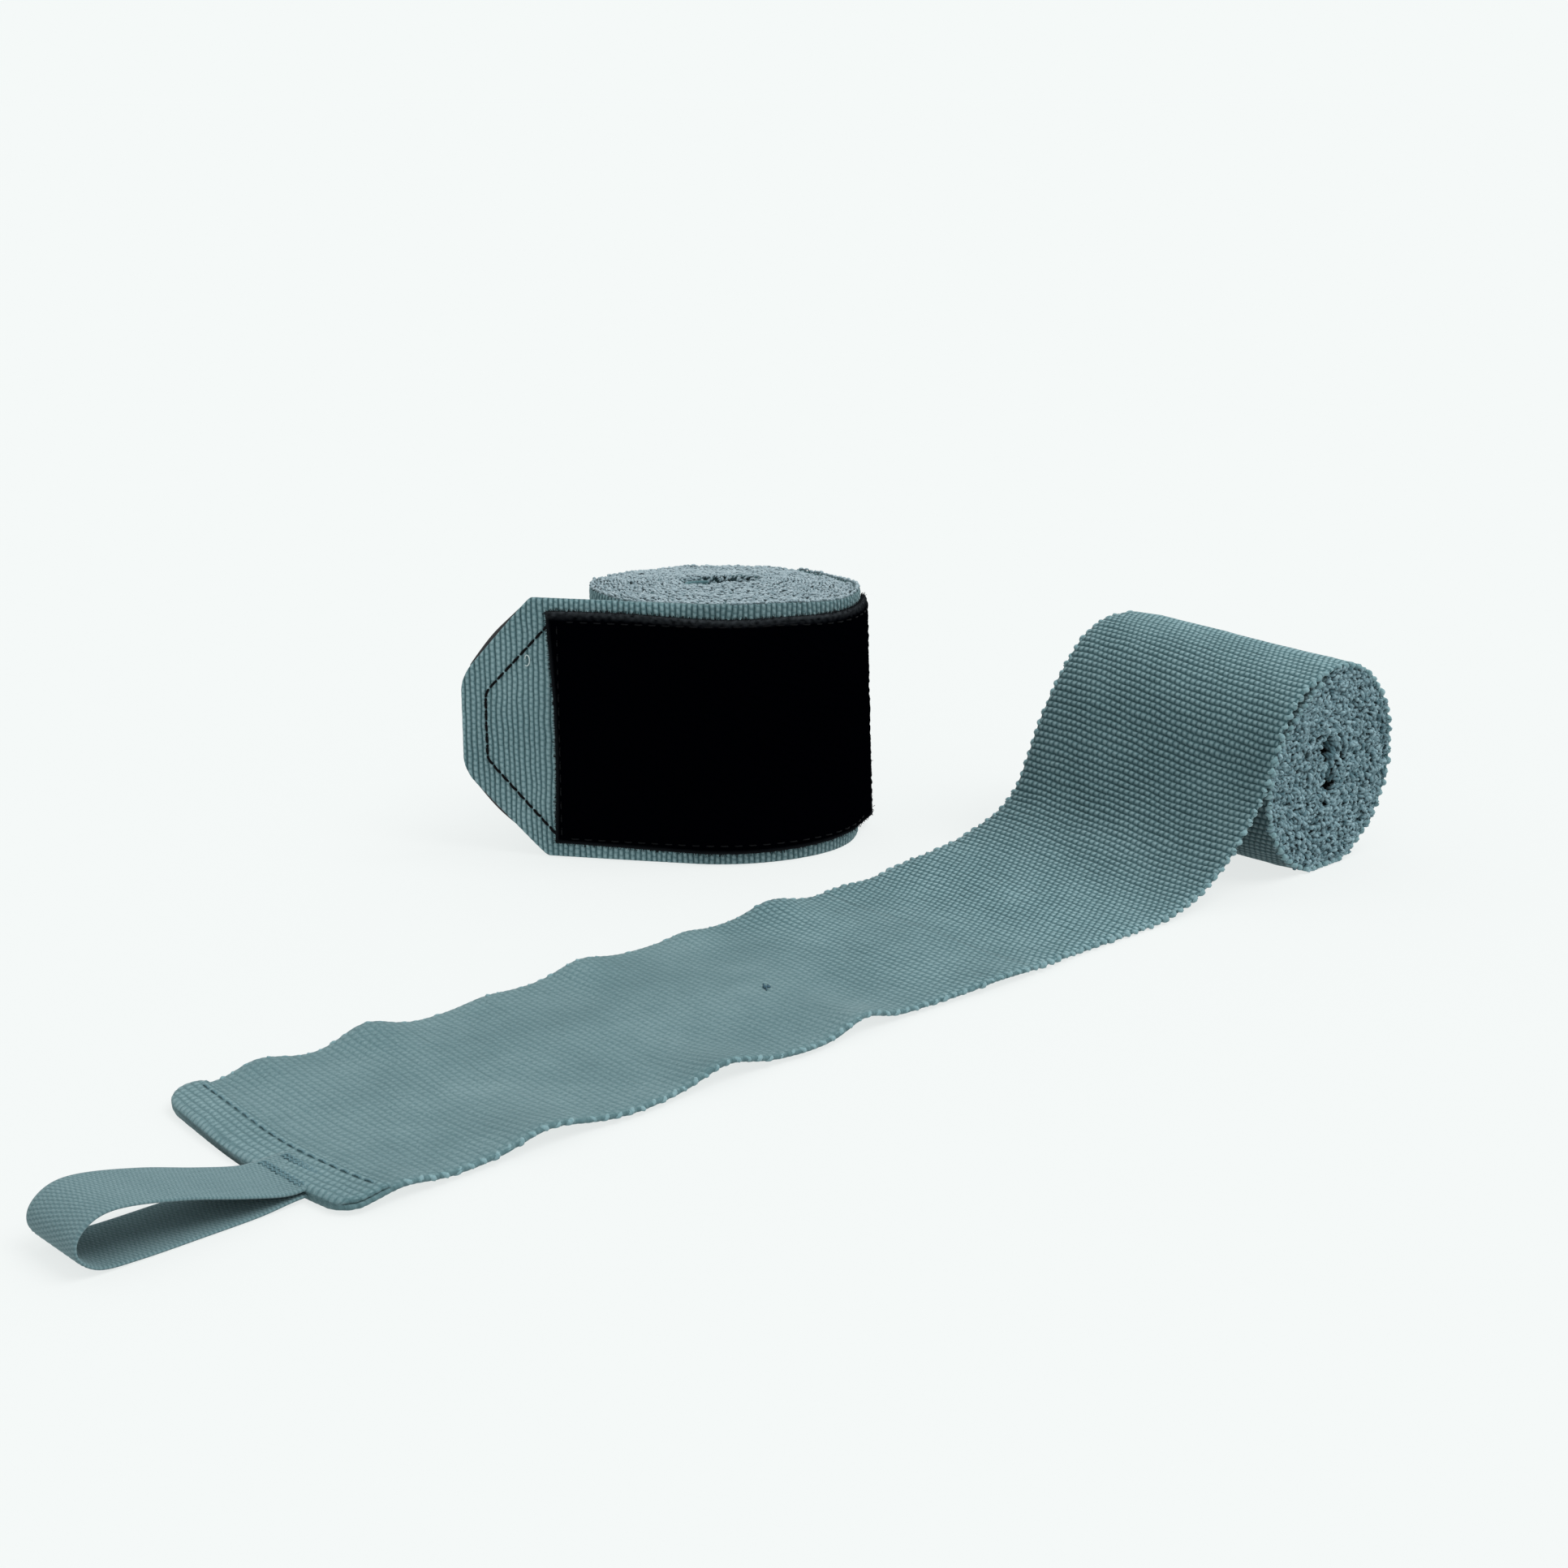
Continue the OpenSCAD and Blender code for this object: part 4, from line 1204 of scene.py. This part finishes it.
def panel_seams(path, total):
    """Stitches along the panel's top, bottom and left-hand edges, in black thread."""
    def on_pile(s, z):
        n = left_of(path, s)
        p = along(path, s) + n * (PANEL_T + 0.02)
        return np.column_stack([p, PANEL_Z + z]), np.column_stack([n, 0 * s])
    s = np.arange(2.0, total - 3.0, STITCH_PITCH)
    z = np.arange(2.0, PANEL_H - 3.4, STITCH_PITCH)
    at_s = np.concatenate([s, s, np.full_like(z, total - SEAM_INSET)])
    at_z = np.concatenate([np.full_like(s, SEAM_INSET), np.full_like(s, PANEL_H - SEAM_INSET), z])
    run_s = STITCH_L * (np.arange(len(at_s)) < 2 * len(s))
    starts, normals = on_pile(at_s, at_z)
    ends, _ = on_pile(at_s + run_s, at_z + STITCH_L - run_s)
    piece = stitches("closed_panel_stitches", starts, ends, normals, BLACK_THREAD, radius=0.13, sink=0.4,
                     place=place_closed)
    fit(piece, "black_thread", FLAP_BEND, "closed_panel_seam_wound", "closed_panel_seam_flap")


def flap_frame(x, off, z):
    """A point of the flap: x along it, off out of its front, z up."""
    x, off, z = np.broadcast_arrays(np.asarray(x, float), np.asarray(off, float), np.asarray(z, float))
    q = FLAP_ORIGIN + x[..., None] * FLAP_DIR + off[..., None] * FLAP_FRONT
    return np.concatenate([q, z[..., None]], -1)


def tip_stitches():
    """The stitch line parallel to the tip's edge."""
    inset = 4.8
    start_x, half_edge = FLAP_L - TIP_TAPER - 3.2, TIP_EDGE / 2 - 2.0
    corners = np.array([(start_x, inset - 0.6), (FLAP_L - inset, BAND_W / 2 - half_edge),
                        (FLAP_L - inset, BAND_W / 2 + half_edge), (start_x, BAND_W - inset + 0.6)])
    path = evenly(corners, 0.1)
    total = lengths(path)[-1]
    s = np.arange(0.3, total - 2.0, 2.25)
    a, b = along(path, s), along(path, s + 1.75)
    starts, ends = (flap_frame(q[:, 0], FLAP_OFF + flap_bow(q[:, 0]) + 0.62, q[:, 1]) for q in (a, b))
    n = np.broadcast_to(np.append(FLAP_FRONT, 0), starts.shape)
    piece = stitches("closed_tip_stitches", starts, ends, n, BLACK_THREAD, radius=0.25, sink=0.35,
                     place=place_closed)
    fit(piece, "black_thread", TIP_BEND, "closed_tip_seam")


def hook_patch():
    """The hook patch behind the tip, with its rows of hooks; it shows a little past the tip's slanting edges."""
    s = np.linspace(S_FLAP + FLAP_L - 1.6 - HOOK_L, S_FLAP + FLAP_L - 1.6, 62)
    low, high = tip_edges(s)
    x = s - S_FLAP
    grow = 1.1 * bump(x, 38, 4.5)
    low, high = low - grow + 1.2 * (1 - smooth(27, 33, x)), high + grow - 1.2 * (1 - smooth(27, 33, x))
    t = np.linspace(0, 1, 60)
    zz = low[:, None] + (high - low)[:, None] * t
    xx = np.broadcast_to(x[:, None], zz.shape)
    sides = [flap_frame(xx, off + flap_bow(xx), zz) for off in (0.05, -0.5)]
    value = np.full(xx.shape, 0.5)
    parts = Parts()
    parts.add_slab(place_closed, sides, np.stack([xx, zz], -1), (value, value))
    rng = np.random.default_rng(7)
    hooks = []
    for hx in np.arange(28.5, FLAP_L - 2.2, 0.95):
        lo, hi = (v[0] for v in tip_edges(np.array([S_FLAP + hx])))
        for hz in np.arange(lo + 1.0, hi - 0.8, 0.85):
            j = rng.uniform(-0.12, 0.12, 2)
            hooks.append((hx + j[0], hz + j[1]))
    hooks = np.array(hooks)
    t = np.linspace(0, 1, 6)
    rise = np.array([0, 0.3, 0.55, 0.7, 0.66, 0.5])
    fwd = np.array([0, 0, 0.04, 0.2, 0.34, 0.4])
    way = rng.choice([-1, 1], (len(hooks), 1))
    p = flap_frame(hooks[:, :1] + 0 * t, -0.45 - rise[None], hooks[:, 1:] + fwd[None] * way)
    add_yarns(parts, place_closed(p), 0.09, 4, value=0.5)
    piece = parts.make("closed_hook_cloth", HOOK)
    fit(piece, "hook_tape", TIP_BEND, "closed_hook_patch")


def lint():
    """A curl of pale lint caught on the tip, and a dark fleck of yarn caught on the strip."""
    t = np.linspace(0, 1, 14)
    curl = flap_frame(30.6 + 0.55 * np.cos(5.2 * t) + 0.3 * t, 1.35 + 0.25 * np.sin(3 * t),
                      38.4 + 0.9 * np.sin(5.2 * t) - 0.5 * t)
    parts = Parts()
    add_yarns(parts, place_closed(curl[None]), 0.11, 5, value=1.0)
    piece = parts.make("closed_tip_lint", LINT)
    fit(piece, "matching_thread", "closed_tip_end")
    rng = np.random.default_rng(3)
    k, t = 7, np.linspace(-1, 1, 6)
    at = np.array([123.5, 21.4]) + rng.normal(0, 0.25, (k, 2))
    turn = rng.uniform(0, math.pi, (k, 1))
    s = at[:, :1] + 0.6 * t[None] * np.cos(turn)
    w = at[:, 1:] + 0.6 * t[None] * np.sin(turn)
    p = strip_surface(s, w)
    p[..., 1] += 0.62 + 0.10 * (1 - t[None] ** 2)
    parts = Parts()
    add_yarns(parts, place_open(p), 0.13, 5, value=1.0)
    piece = parts.make("open_strip_fleck", FLECK)
    fit(piece, "matching_thread", "strip_near")


# ---- what shows in the rolls' cores ----

def core_strip(name, path, material, slot, stands_for, *, off, thick, low, high):
    """A short length of cloth in a roll's core, off the line of its innermost turn."""
    place, body = (place_closed, "closed_roll") if name.startswith("closed") else (place_core, "open_roll")
    q = path + normals_2d(path) * off
    s = lengths(q)
    n = normals_2d(q)
    r = min(0.3, thick / 2)
    ring = [(thick / 2, low + r), (thick * 0.35, low), (-thick * 0.35, low), (-thick / 2, low + r)]
    ring += [(-thick / 2, v) for v in np.linspace(low + 3, high - 3, 14)]
    ring += [(-thick / 2, high - r), (-thick * 0.35, high), (thick * 0.35, high), (thick / 2, high - r)]
    ring += [(thick / 2, v) for v in np.linspace(high - 3, low + 3, 14)]
    points = np.stack([np.concatenate([q + n * (o + 0.05 * ripples(s, w + 0 * s, 1.3, 3))[:, None],
                                       np.full((len(s), 1), w)], 1) for o, w in ring], 1)
    uv = np.stack([np.stack([s, np.full_like(s, w)], -1) for _, w in ring], 1)
    parts = Parts()
    parts.add_rings(place, points, uv, np.full(points.shape[:2], 0.4))
    piece = parts.make(name, material)
    fit(piece, slot, body, *stands_for)
    lengths(q)[-1] * MM


def cores():
    closed = evenly(core_path(CLOSED_TILT), 0.4)
    opened = roll_path(OPEN_TILT, open_turn, 1.4, 0.4)
    core_strip("closed_end_hem_cloth", closed[:27], KNIT, "wrap_fabric", ["closed_end_hem", "closed_hem_seam"],
               off=-0.55, thick=0.6, low=0.8, high=BAND_W - 1.2)
    core_strip("closed_thumb_loop_tape", closed[2:58], TAPE, "loop_tape", ["closed_thumb_loop", "closed_loop_tack"],
               off=0.85, thick=0.8, low=LOOP_INSET, high=LOOP_INSET + TAPE_W)
    core_strip("open_tip_cloth", opened[:42], KNIT, "wrap_fabric", ["open_tip", "open_tip_seam"],
               off=0.0, thick=0.6, low=12.0, high=BAND_W - 12.0)
    core_strip("open_hook_cloth", opened[2:38], HOOK, "hook_tape", ["open_hook_patch"],
               off=0.75, thick=0.8, low=16.0, high=BAND_W - 16.0)
    core_strip("open_loop_panel_pile", opened[44:200], PILE, "loop_pile", ["open_loop_panel", "open_panel_seam"],
               off=-0.75, thick=0.8, low=PANEL_Z + 1, high=PANEL_Z + PANEL_H - 1)


closed_band()
closed_roll()
closed_loops()
panel_seams(*panel())
tip_stitches()
hook_patch()
lint()
cores()
